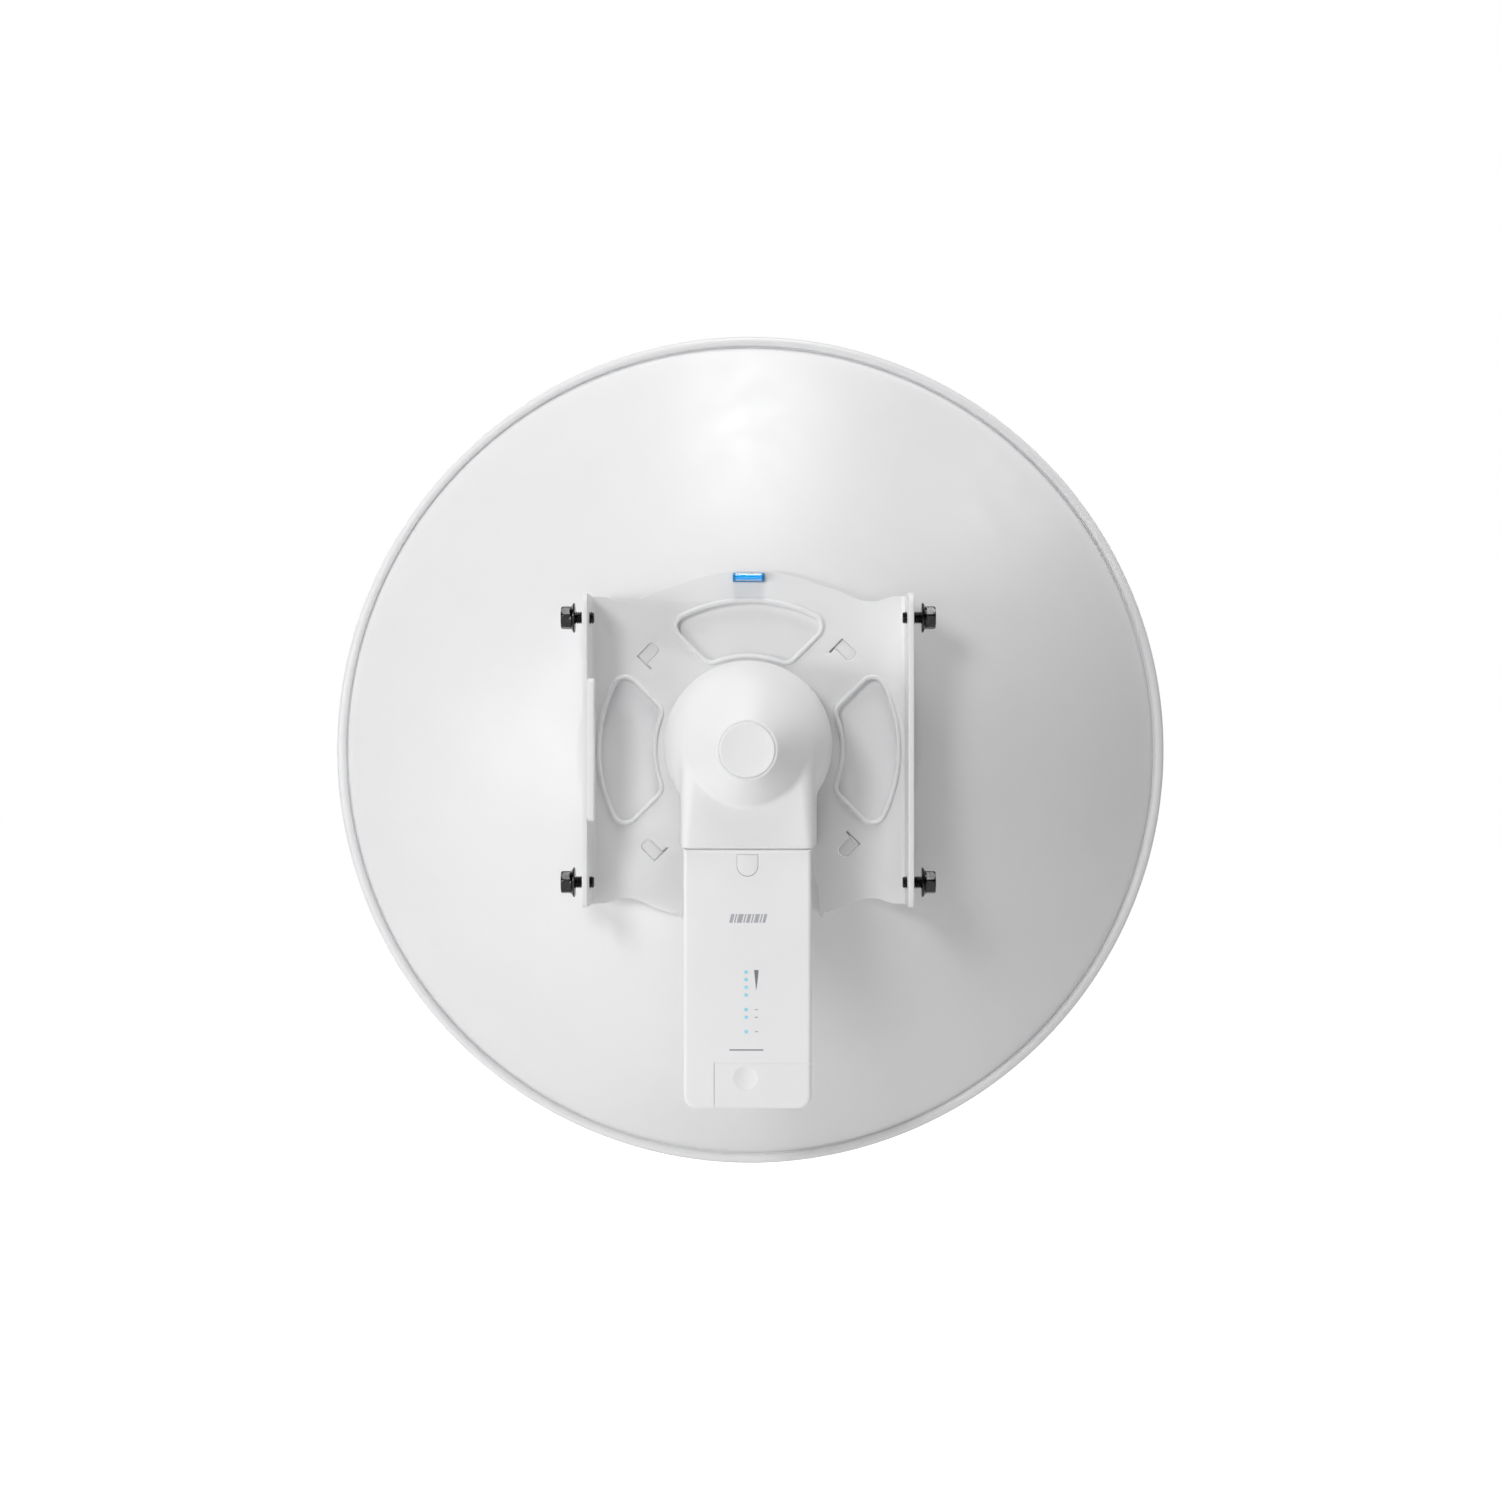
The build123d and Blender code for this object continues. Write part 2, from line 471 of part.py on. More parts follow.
seal_c = box(CX - 5.55, CX + 5.55, -49.5, CY, RADIO_BOT + 0.1, RADIO_BOT + WALL + 0.2) + cyl_z(5.55, RADIO_BOT + 0.1, RADIO_BOT + WALL + 0.2, CX, CY)
seal_c += box(CX - 6.8, CX + 6.8, -49.5, CY, RADIO_BOT + WALL + 0.05, RADIO_BOT + WALL + 2.2) + cyl_z(5.7, RADIO_BOT + WALL + 0.05, RADIO_BOT + WALL + 2.2, CX, CY)
seal_c -= cyl_z(3.0, -170, -150, CX, CY)
seal_c -= box(CX - 0.2, CX + 0.2, -52, CY, -170, -150)
keep(one(seal_c), "cable_seal")

# case gasket: a frame on the parting plane round the electronics
g_out = box(-RADIO_HW + 0.7, RADIO_HW - 0.7, SPLIT_Y - 0.28, SPLIT_Y + 0.28, BULK + 0.4, RADIO_TOP - 0.6)
g_out += box(-NECK_HW + 0.5, NECK_HW - 0.5, SPLIT_Y - 0.28, SPLIT_Y + 0.28, RADIO_TOP - 3.0, NECK_TOP - 0.5)
g_in = box(-HWI - 0.1, HWI + 0.1, -60, -40, BULK + 1.8, RADIO_TOP - 1.9)
g_in += box(-NECK_HW + 1.9, NECK_HW - 1.9, -60, -40, RADIO_TOP - 4.0, NECK_TOP - 1.9)
gk = g_out - g_in - box(JX0 - 0.3, JX1 + 0.3, -60, -40, -152, -138.8)
gk -= box(-30, 30, -60, -40, -152, BULK + 0.3)
for x, y in PLUGS:
    gk -= cyl_z(3.0, -36, -20, x, y)
gk = gk.solids().sort_by(SortBy.VOLUME)[-1]
keep(one(gk), "case_gasket")

# heads sit on the front shell's bosses
cs2 = []
for x, z in CS:
    s_ = cyl_y(1.22, -56.0, -36.5, x, z) + cyl_y(2.7, -36.55, -34.6, x, z)
    s_ -= Pos(x, -34.6, z) * Rot(90, 0, 0) * extrude(RegularPolygon(1.2, 6), amount=1.1, both=True)
    cs2.append(one(s_))
keep(group(cs2), "case_screws")

# electronics
PCB_Y0, PCB_Y1 = -51.6, -50.0
board = box(-25.8, 25.8, PCB_Y0, PCB_Y1, -140.4, -49.2)
board += box(-23.0, 23.0, PCB_Y0, PCB_Y1, -50.0, -31.4)
for x, z in CS:
    board -= cyl_y(3.6, -60, -40, x, z)
board -= box(-30, -23.8, -60, -40, -57.1, -45) + box(23.8, 30, -60, -40, -57.1, -45)
board -= box(-30, -23.8, -60, -40, -141.8, -133.7) + box(23.8, 30, -60, -40, -141.8, -133.7)
keep(one(board), "main_board")


def can(x0, x1, y0, y1, z0, z1, t=0.3, open_back=True):
    o = box(x0, x1, y0, y1, z0, z1)
    o = fillet(o.edges().filter_by(Axis.Y), 0.8)
    if open_back:
        return one(o - box(x0 + t, x1 - t, y0 + t, y1 + 1, z0 + t, z1 - t))
    return one(o - box(x0 + t, x1 - t, y0 - 1, y1 - t, z0 + t, z1 - t))


keep(can(-19, 19, -50.0, -46.6, -86.0, -58.0, open_back=False), "radio_shield")
keep(can(-19, 19, -50.0, -46.6, -116.0, -90.0, open_back=False), "power_shield")
keep(one(box(-18.0, 18.0, -46.55, -45.05, -115.0, -59.0)), "thermal_pad")
spreader = box(-22.5, 22.5, -45.0, -43.2, -117.5, -57.2)
for k in range(7):
    xk = -18.0 + 6.0 * k
    spreader += box(xk - 0.6, xk + 0.6, -43.3, -37.0, -117.5, -57.2)
keep(one(spreader), "heat_spreader")
jack = box(JX0, JX1, JY0, JY1, JZ0, JZ1)
jack -= box(JX0 + 2.1, JX1 - 2.1, JY0 + 2.6, JY1 - 3.0, JZ0 - 1, JZ0 + 14.0)
jack -= box((JX0 + JX1) / 2 - 3.2, (JX0 + JX1) / 2 + 3.2, JY1 - 3.1, JY1 - 1.4, JZ0 - 1, JZ0 + 12.0)
keep(one(jack), "ethernet_jack")
plugs = []
for x, y in PLUGS:
    p = cyl_z(2.9, NECK_TOP - 2.6, -22.0, x, y) - cyl_z(1.0, -26.5, -10, x, y)
    plugs.append(one(p))
keep(group(plugs), "probe_plugs")
pipes = []
for z in LED_Z:
    p = cyl_y(0.8, RADIO_BACK + 0.1, -52.4, LED_X, z)
    pipes.append(one(p))
keep(group(pipes), "led_light_pipes")
keep(one(box(-2.2, 1.0, -52.3, PCB_Y0, -131.3, -100.1)), "led_bar")

# release latch: push tab with a nose that reaches up under the sleeve
lat = prism_y(make_face(Wire([
    Line((-LHW, LZ1), (LHW, LZ1)), Line((LHW, LZ1), (LHW, LZ0 + 4.5)),
    ThreePointArc((LHW, LZ0 + 4.5), (0, LZ0), (-LHW, LZ0 + 4.5)),
    Line((-LHW, LZ0 + 4.5), (-LHW, LZ1))])), -66.0, -61.6)
lat = fillet(lat.edges().group_by(Axis.Y)[0], 0.4)
lat += box(-LHW, LHW, -63.9, -62.2, LZ1 - 1.0, -38.0)
lat += box(-3.6, 3.6, -64.6, -63.3, -40.6, -38.0)
keep(one(lat), "release_latch")
spr = Helix(pitch=1.5, height=6.6, radius=1.7)
spr_s = sweep(Plane(spr @ 0, z_dir=spr % 0) * Circle(0.22), path=spr)
spr_s = Pos(0, -54.6, -53.0) * Rot(90, 0, 0) * spr_s
keep(one(spr_s), "latch_spring")

# reset button and switch in the compartment's roof
rb = cyl_z(1.5, -145.8, -140.8, -6.2, -42.0) + cyl_z(2.6, -141.0, -140.0, -6.2, -42.0)
keep(one(rb), "reset_button")
rs = box(-9.4, -3.0, -49.5, -38.8, -138.7, -132.8)
rs += cyl_z(1.2, -139.0, -138.6, -6.2, -42.0)
keep(one(rs), "reset_switch")

# earthing screw with its washer, low on the bracket plate
gs = cyl_y(2.08, -4.1, -0.1, 0, EARTH_Z) + cyl_y(4.4, -7.1, -4.05, 0, EARTH_Z)
gs -= box(-5, 5, -8, -6.1, EARTH_Z - 0.6, EARTH_Z + 0.6) + box(-0.6, 0.6, -8, -6.1, EARTH_Z - 5, EARTH_Z + 5)
keep(one(gs), "ground_screw")
gw = cyl_y(5.4, -4.0, -2.55, 0, EARTH_Z) - cyl_y(2.3, -5, 0, 0, EARTH_Z)
keep(one(gw), "ground_washer")
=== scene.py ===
import json
import math

import bmesh
import bpy
import numpy as np
from mathutils import Matrix, Vector


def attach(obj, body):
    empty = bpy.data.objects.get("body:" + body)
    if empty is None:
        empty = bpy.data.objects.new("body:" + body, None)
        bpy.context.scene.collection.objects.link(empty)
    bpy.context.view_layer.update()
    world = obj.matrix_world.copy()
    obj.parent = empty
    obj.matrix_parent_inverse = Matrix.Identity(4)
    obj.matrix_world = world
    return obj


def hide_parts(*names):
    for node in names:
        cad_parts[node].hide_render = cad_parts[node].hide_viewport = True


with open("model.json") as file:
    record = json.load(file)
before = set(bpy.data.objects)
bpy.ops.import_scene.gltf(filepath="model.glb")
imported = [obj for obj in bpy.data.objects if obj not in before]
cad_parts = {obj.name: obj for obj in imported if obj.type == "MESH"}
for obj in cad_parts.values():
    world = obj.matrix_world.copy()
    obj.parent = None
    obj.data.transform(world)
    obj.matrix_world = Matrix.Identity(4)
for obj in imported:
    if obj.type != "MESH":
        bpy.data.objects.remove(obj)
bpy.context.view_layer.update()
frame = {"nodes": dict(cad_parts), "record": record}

N = frame["nodes"]
scene = bpy.context.scene
scene.view_settings.view_transform = "Standard"
scene.view_settings.look = "None"
MM = 0.001


# ------------------------------------------------------------------ materials
def sock(node, name):
    return next(s for s in node.inputs if s.name == name)


def new_mat(name):
    m = bpy.data.materials.new(name)
    m.use_nodes = True
    nt = m.node_tree
    bsdf = nt.nodes["Principled BSDF"]
    coord = nt.nodes.new("ShaderNodeTexCoord")
    return m, nt, bsdf, coord


def noise(nt, coord, scale, detail=2.0, rough=0.5, stretch=None):
    n = nt.nodes.new("ShaderNodeTexNoise")
    n.inputs["Scale"].default_value = scale
    n.inputs["Detail"].default_value = detail
    n.inputs["Roughness"].default_value = rough
    if stretch:
        mp = nt.nodes.new("ShaderNodeMapping")
        mp.inputs["Scale"].default_value = stretch
        nt.links.new(coord.outputs["Object"], mp.inputs["Vector"])
        nt.links.new(mp.outputs["Vector"], n.inputs["Vector"])
    else:
        nt.links.new(coord.outputs["Object"], n.inputs["Vector"])
    return n


def ranged(nt, out, lo_, hi_, a=0.3, b=0.7):
    r = nt.nodes.new("ShaderNodeMapRange")
    r.inputs["From Min"].default_value = a
    r.inputs["From Max"].default_value = b
    r.inputs["To Min"].default_value = lo_
    r.inputs["To Max"].default_value = hi_
    nt.links.new(out, r.inputs["Value"])
    return r.outputs["Result"]


def mixed(nt, fac, c1, c2):
    m = nt.nodes.new("ShaderNodeMix")
    m.data_type = "RGBA"
    a = [s for s in m.inputs if s.name == "A" and s.type == "RGBA"][0]
    b = [s for s in m.inputs if s.name == "B" and s.type == "RGBA"][0]
    a.default_value = (*c1, 1)
    b.default_value = (*c2, 1)
    nt.links.new(fac, [s for s in m.inputs if s.name == "Factor" and s.type == "VALUE"][0])
    return [s for s in m.outputs if s.type == "RGBA"][0]


def bump(nt, bsdf, layers):
    """layers: (height output, strength, distance in metres), finest last."""
    prev = None
    for out, strength, dist in layers:
        b = nt.nodes.new("ShaderNodeBump")
        b.inputs["Strength"].default_value = strength
        b.inputs["Distance"].default_value = dist
        nt.links.new(out, b.inputs["Height"])
        if prev:
            nt.links.new(prev, b.inputs["Normal"])
        prev = b.outputs["Normal"]
    nt.links.new(prev, bsdf.inputs["Normal"])


def coated(name, c1, c2, rough=(0.34, 0.46), peel=(900.0, 0.00006), fine=(3200.0, 0.000012), coat=0.0, edge=None, dust=None):
    """Powder coat: faint cloudy colour, orange peel and a finer grain."""
    m, nt, bsdf, co = new_mat(name)
    cloud = noise(nt, co, 9.0, 4.0, 0.55)
    col = mixed(nt, ranged(nt, cloud.outputs["Fac"], 0, 1), c1, c2)
    if dust:
        # faint grey film with small specks, as on a coat that has been outdoors or handled
        sp = noise(nt, co, 420.0, 3.0, 0.7)
        mask = ranged(nt, sp.outputs["Fac"], 0.0, 0.35, 0.62, 0.78)
        mm_ = nt.nodes.new("ShaderNodeMix")
        mm_.data_type = "RGBA"
        nt.links.new(mask, [s for s in mm_.inputs if s.name == "Factor" and s.type == "VALUE"][0])
        nt.links.new(col, [s for s in mm_.inputs if s.name == "A" and s.type == "RGBA"][0])
        [s for s in mm_.inputs if s.name == "B" and s.type == "RGBA"][0].default_value = (*dust, 1)
        col = [s for s in mm_.outputs if s.type == "RGBA"][0]
    nt.links.new(col, bsdf.inputs["Base Color"])
    rn = noise(nt, co, 60.0, 3.0, 0.6)
    nt.links.new(ranged(nt, rn.outputs["Fac"], *rough), bsdf.inputs["Roughness"])
    p = noise(nt, co, peel[0], 1.5, 0.5)
    f = noise(nt, co, fine[0], 2.0, 0.6)
    bump(nt, bsdf, [(p.outputs["Fac"], 0.5, peel[1]), (f.outputs["Fac"], 0.4, fine[1])])
    bsdf.inputs["Specular IOR Level"].default_value = 0.45
    if coat:
        bsdf.inputs["Coat Weight"].default_value = coat
        bsdf.inputs["Coat Roughness"].default_value = 0.2
    return m


def plastic(name, c1, c2, rough=(0.46, 0.58), grain=(2600.0, 0.00002), spec=0.35, sss=0.0):
    """Moulded plastic with a fine spark-eroded grain."""
    m, nt, bsdf, co = new_mat(name)
    cloud = noise(nt, co, 22.0, 3.0, 0.5)
    nt.links.new(mixed(nt, ranged(nt, cloud.outputs["Fac"], 0, 1), c1, c2), bsdf.inputs["Base Color"])
    rn = noise(nt, co, 90.0, 3.0, 0.6)
    nt.links.new(ranged(nt, rn.outputs["Fac"], *rough), bsdf.inputs["Roughness"])
    g = nt.nodes.new("ShaderNodeTexVoronoi")
    g.inputs["Scale"].default_value = grain[0]
    nt.links.new(co.outputs["Object"], g.inputs["Vector"])
    w = noise(nt, co, 30.0, 2.0, 0.5)
    bump(nt, bsdf, [(w.outputs["Fac"], 0.12, 0.0002), (g.outputs["Distance"], 0.35, grain[1])])
    bsdf.inputs["Specular IOR Level"].default_value = spec
    if sss:
        bsdf.inputs["Subsurface Weight"].default_value = sss
        bsdf.inputs["Subsurface Radius"].default_value = (0.004, 0.003, 0.0025)
        bsdf.inputs["Subsurface Scale"].default_value = 0.5
    return m


def metal(name, c1, c2, rough=(0.22, 0.38), brush=None, grain=1200.0, dist=0.00002, aniso=0.0):
    m, nt, bsdf, co = new_mat(name)
    cloud = noise(nt, co, 160.0, 4.0, 0.6)
    nt.links.new(mixed(nt, ranged(nt, cloud.outputs["Fac"], 0, 1), c1, c2), bsdf.inputs["Base Color"])
    bsdf.inputs["Metallic"].default_value = 1.0
    rn = noise(nt, co, 300.0, 4.0, 0.65, stretch=brush)
    nt.links.new(ranged(nt, rn.outputs["Fac"], *rough), bsdf.inputs["Roughness"])
    g = noise(nt, co, grain, 3.0, 0.6, stretch=brush)
    bump(nt, bsdf, [(g.outputs["Fac"], 0.35, dist)])
    return m


def rubber(name, c1, c2):
    m, nt, bsdf, co = new_mat(name)
    cloud = noise(nt, co, 120.0, 4.0, 0.6)
    nt.links.new(mixed(nt, ranged(nt, cloud.outputs["Fac"], 0, 1), c1, c2), bsdf.inputs["Base Color"])
    rn = noise(nt, co, 500.0, 2.0, 0.6)
    nt.links.new(ranged(nt, rn.outputs["Fac"], 0.55, 0.75), bsdf.inputs["Roughness"])
    g = noise(nt, co, 1800.0, 3.0, 0.6)
    bump(nt, bsdf, [(g.outputs["Fac"], 0.5, 0.00004)])
    return m


def glassy(name, c1, c2, rough=(0.03, 0.09), weight=0.85, ior=1.49, emit=None, power=0.0):
    m, nt, bsdf, co = new_mat(name)
    cloud = noise(nt, co, 260.0, 3.0, 0.5)
    nt.links.new(mixed(nt, ranged(nt, cloud.outputs["Fac"], 0, 1), c1, c2), bsdf.inputs["Base Color"])
    rn = noise(nt, co, 400.0, 3.0, 0.6)
    nt.links.new(ranged(nt, rn.outputs["Fac"], *rough), bsdf.inputs["Roughness"])
    bsdf.inputs["Transmission Weight"].default_value = weight
    bsdf.inputs["IOR"].default_value = ior
    if emit:
        bsdf.inputs["Emission Color"].default_value = (*emit, 1)
        bsdf.inputs["Emission Strength"].default_value = power
    return m


M = {
    "dish_coat": coated("dish_coat", (0.80, 0.80, 0.81), (0.835, 0.835, 0.84)),
    "bracket_coat": coated("bracket_coat", (0.80, 0.80, 0.805), (0.83, 0.83, 0.835), rough=(0.38, 0.5), peel=(1100.0, 0.00007)),
    "housing_plastic": plastic("housing_plastic", (0.84, 0.84, 0.845), (0.865, 0.865, 0.87)),
    "radio_plastic": plastic("radio_plastic", (0.875, 0.875, 0.885), (0.895, 0.895, 0.905)),
    "cover_plastic": plastic("cover_plastic", (0.865, 0.865, 0.875), (0.885, 0.885, 0.895)),
    "bolt_metal": metal("bolt_metal", (0.035, 0.035, 0.038), (0.075, 0.073, 0.072), rough=(0.16, 0.34)),
    "screw_metal": metal("screw_metal", (0.58, 0.58, 0.60), (0.68, 0.68, 0.69), rough=(0.22, 0.4)),
    "gasket_rubber": rubber("gasket_rubber", (0.10, 0.10, 0.11), (0.14, 0.14, 0.15)),
    "seal_rubber": rubber("seal_rubber", (0.24, 0.24, 0.25), (0.31, 0.31, 0.32)),
    "waveguide_metal": metal("waveguide_metal", (0.72, 0.73, 0.74), (0.80, 0.80, 0.81), rough=(0.28, 0.44), brush=(1, 12, 1)),
    "dielectric": plastic("dielectric", (0.84, 0.82, 0.76), (0.88, 0.86, 0.80), rough=(0.25, 0.4), sss=0.15),
    "tin_plate": metal("tin_plate", (0.66, 0.66, 0.66), (0.76, 0.76, 0.75), rough=(0.2, 0.36), brush=(6, 1, 1)),
    "thermal_silicone": rubber("thermal_silicone", (0.28, 0.38, 0.52), (0.34, 0.45, 0.60)),
    "light_guide": glassy("light_guide", (0.30, 0.62, 0.72), (0.36, 0.68, 0.78), weight=0.2, emit=(0.16, 0.55, 0.72), power=0.28),
    "level_body": plastic("level_body", (0.012, 0.22, 0.52), (0.02, 0.27, 0.58), rough=(0.2, 0.32)),
    "level_clear": glassy("level_clear", (0.90, 0.97, 1.0), (0.95, 0.99, 1.0), weight=1.0, ior=1.45),
    # the liquid's emission is a painted glow: the blue shines as if lit from within, standing in for light through the
    # vial
    "level_liquid": glassy("level_liquid", (0.005, 0.38, 0.86), (0.01, 0.46, 0.92), weight=0.1, ior=1.34, emit=(0.0, 0.34, 0.80), power=0.45),
    "brass_pin": metal("brass_pin", (0.76, 0.58, 0.26), (0.86, 0.68, 0.34), rough=(0.14, 0.28)),
    "black_plastic": plastic("black_plastic", (0.028, 0.028, 0.03), (0.045, 0.045, 0.047), rough=(0.35, 0.5)),
    "spring_wire": metal("spring_wire", (0.52, 0.52, 0.54), (0.62, 0.62, 0.64), rough=(0.18, 0.3)),
}


def board_mat():
    """Solder mask with pale tracks and pads."""
    m, nt, bsdf, co = new_mat("board_laminate")
    br = nt.nodes.new("ShaderNodeTexBrick")
    br.inputs["Scale"].default_value = 90.0
    br.inputs["Mortar Size"].default_value = 0.03
    br.inputs["Color1"].default_value = (0.012, 0.11, 0.055, 1)
    br.inputs["Color2"].default_value = (0.016, 0.13, 0.07, 1)
    br.inputs["Mortar"].default_value = (0.05, 0.25, 0.12, 1)
    mp = nt.nodes.new("ShaderNodeMapping")
    mp.inputs["Rotation"].default_value = (math.radians(90), 0, 0)
    nt.links.new(co.outputs["Object"], mp.inputs["Vector"])
    nt.links.new(mp.outputs["Vector"], br.inputs["Vector"])
    nt.links.new(br.outputs["Color"], bsdf.inputs["Base Color"])
    rn = noise(nt, co, 350.0, 3.0, 0.6)
    nt.links.new(ranged(nt, rn.outputs["Fac"], 0.22, 0.38), bsdf.inputs["Roughness"])
    bump(nt, bsdf, [(br.outputs["Fac"], 0.3, 0.00004)])
    return m


M["board_laminate"] = board_mat()
INK = plastic("printed_ink", (0.20, 0.20, 0.22), (0.26, 0.26, 0.28), rough=(0.4, 0.55))
INK_PALE = plastic("printed_ink_pale", (0.42, 0.42, 0.45), (0.48, 0.48, 0.51), rough=(0.4, 0.55))


def put(obj, mat):
    obj.data.materials.clear()
    obj.data.materials.append(mat)


slots = {s["node"]: s["material_slot"] for s in frame["record"]["subparts"]}
for name, o in N.items():
    put(o, M[slots[name]])


# -------------------------------------------------------------------- helpers
def from_bm(name, bm, mat, body, smooth=True, angle=35):
    me = bpy.data.meshes.new(name)
    bmesh.ops.recalc_face_normals(bm, faces=bm.faces[:])
    bm.to_mesh(me)
    bm.free()
    o = bpy.data.objects.new(name, me)
    scene.collection.objects.link(o)
    if smooth:
        me.shade_smooth()
        if angle:
            me.set_sharp_from_angle(angle=math.radians(angle))
    me.materials.append(mat)
    if body:
        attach(o, body)
    return o


def lathe(points, segs=128, axis="Y", centre=(0, 0, 0), closed=True, bm=None):
    """Turn a list of (radius, along) in mm about an axis through centre."""
    bm = bm or bmesh.new()
    cx, cy, cz = centre
    rings = []
    for r, a in points:
        if r < 1e-6:
            p = {"Y": (cx, cy + a, cz), "X": (cx + a, cy, cz), "Z": (cx, cy, cz + a)}[axis]
            rings.append([bm.verts.new([c * MM for c in p])])
            continue
        ring = []
        for k in range(segs):
            t = 2 * math.pi * k / segs
            u, v = r * math.cos(t), r * math.sin(t)
            p = {"Y": (cx + u, cy + a, cz + v), "X": (cx + a, cy + u, cz + v), "Z": (cx + u, cy + v, cz + a)}[axis]
            ring.append(bm.verts.new([c * MM for c in p]))
        rings.append(ring)
    pairs = list(zip(rings, rings[1:]))
    if closed:
        pairs.append((rings[-1], rings[0]))
    for a, b in pairs:
        if len(a) == 1 and len(b) == 1:
            continue
        for k in range(segs):
            j = (k + 1) % segs
            if len(a) == 1:
                bm.faces.new((a[0], b[k], b[j]))
            elif len(b) == 1:
                bm.faces.new((a[k], a[j], b[0]))
            else:
                bm.faces.new((a[k], a[j], b[j], b[k]))
    return bm


def spline2(points, n=12):
    """Catmull-Rom through 2-D points."""
    p = np.array(points, float)
    p = np.vstack([2 * p[0] - p[1], p, 2 * p[-1] - p[-2]])
    out = []
    for i in range(1, len(p) - 2):
        for k in range(n):
            t = k / n
            a, b, c, d = p[i - 1], p[i], p[i + 1], p[i + 2]
            out.append(tuple(0.5 * ((2 * b) + (-a + c) * t + (2 * a - 5 * b + 4 * c - d) * t * t + (-a + 3 * b - 3 * c + d) * t ** 3)))
    out.append(tuple(p[-2]))
    return out


def arc(cx, cy, r, a0, a1, n=10):
    return [(cx + r * math.cos(math.radians(a0 + (a1 - a0) * k / n)), cy + r * math.sin(math.radians(a0 + (a1 - a0) * k / n)))
            for k in range(n + 1)]


def rrect(x0, x1, z0, z1, r, n=8):
    return (arc(x1 - r, z1 - r, r, 0, 90, n) + arc(x0 + r, z1 - r, r, 90, 180, n)
            + arc(x0 + r, z0 + r, r, 180, 270, n) + arc(x1 - r, z0 + r, r, 270, 360, n))


def plate_mesh(outlines, w0, w1, plane="XZ", bevel=0.3, res=3):
    """Flat sheet with rounded edges. outlines are closed lists of 2-D points in mm; the first is the outside."""
    cu = bpy.data.curves.new("tmp", "CURVE")
    cu.dimensions = "2D"
    cu.fill_mode = "BOTH"
    cu.extrude = (w1 - w0) / 2 * MM - bevel * MM
    cu.bevel_depth = bevel * MM
    cu.bevel_resolution = res
    cu.offset = -bevel * MM
    for pts in outlines:
        clean = [pts[0]]
        for q in pts[1:]:
            if math.hypot(q[0] - clean[-1][0], q[1] - clean[-1][1]) > 0.02:
                clean.append(q)
        if math.hypot(clean[0][0] - clean[-1][0], clean[0][1] - clean[-1][1]) <= 0.02:
            clean.pop()
        sp = cu.splines.new("POLY")
        sp.points.add(len(clean) - 1)
        for k, (a, b) in enumerate(clean):
            sp.points[k].co = (a * MM, b * MM, 0, 1)
        sp.use_cyclic_u = True
    o = bpy.data.objects.new("tmp", cu)
    scene.collection.objects.link(o)
    bpy.context.view_layer.update()
    me = bpy.data.meshes.new_from_object(o.evaluated_get(bpy.context.evaluated_depsgraph_get()))
    bpy.data.objects.remove(o)
    bpy.data.curves.remove(cu)
    mid = (w0 + w1) / 2 * MM
    if plane == "XZ":      # local x, y, z -> X, Z, -Y
        mx = Matrix(((1, 0, 0, 0), (0, 0, -1, mid), (0, 1, 0, 0), (0, 0, 0, 1)))
    else:                  # "YZ": local x, y, z -> Y, Z, X
        mx = Matrix(((0, 0, 1, mid), (1, 0, 0, 0), (0, 1, 0, 0), (0, 0, 0, 1)))
    me.transform(mx)
    return me


def add_mesh(bm, me):
    bm.from_mesh(me)
    bpy.data.meshes.remove(me)


def weld(bm, d=1e-6):
    bmesh.ops.remove_doubles(bm, verts=bm.verts[:], dist=d)


def tube(points, radius, closed=True, sides=12, flat=1.0):
    """Round bead of that radius (mm) along 3-D points (mm) in a plane of constant y."""
    bm = bmesh.new()
    P = [Vector(p) for p in points]
    n = len(P)
    rings = []
    for i in range(n):
        a, b = (P[(i - 1) % n], P[(i + 1) % n]) if closed else (P[max(i - 1, 0)], P[min(i + 1, n - 1)])
        t = (b - a).normalized()
        up = Vector((0, 1, 0))
        side = t.cross(up).normalized()
        ring = []
        for k in range(sides):
            an = 2 * math.pi * k / sides
            ring.append(bm.verts.new((P[i] + side * (radius * math.cos(an)) + up * (radius * flat * math.sin(an))) * MM))
        rings.append(ring)
    rng = range(n) if closed else range(n - 1)
    for i in rng:
        a, b = rings[i], rings[(i + 1) % n]
        for k in range(sides):
            j = (k + 1) % sides
            bm.faces.new((a[k], a[j], b[j], b[k]))
    if not closed:
        bm.faces.new(rings[0])
        bm.faces.new(rings[-1][::-1])
    return bm


def bevelled(o, width=0.3, segments=2, angle=35):
    md = o.modifiers.new("edge", "BEVEL")
    md.width = width * MM
    md.segments = segments
    md.limit_method = "ANGLE"
    md.angle_limit = math.radians(angle)
    md.harden_normals = False
    md.use_clamp_overlap = True
    return md


def apply_all(o):
    dg = bpy.context.evaluated_depsgraph_get()
    me = bpy.data.meshes.new_from_object(o.evaluated_get(dg))
    o.modifiers.clear()
    o.data = me


def cut(o, cutters, keep=False):
    for c in cutters:
        md = o.modifiers.new("cut", "BOOLEAN")
        md.operation = "DIFFERENCE"
        md.solver = "EXACT"
        md.object = c
    bpy.context.view_layer.update()
    apply_all(o)
    for c in cutters:
        bpy.data.objects.remove(c)


def loose(name, me_or_bm):
    if isinstance(me_or_bm, bmesh.types.BMesh):
        me = bpy.data.meshes.new(name)
        bmesh.ops.recalc_face_normals(me_or_bm, faces=me_or_bm.faces[:])
        me_or_bm.to_mesh(me)
        me_or_bm.free()
    else:
        me = me_or_bm
    o = bpy.data.objects.new(name, me)
    scene.collection.objects.link(o)
    return o


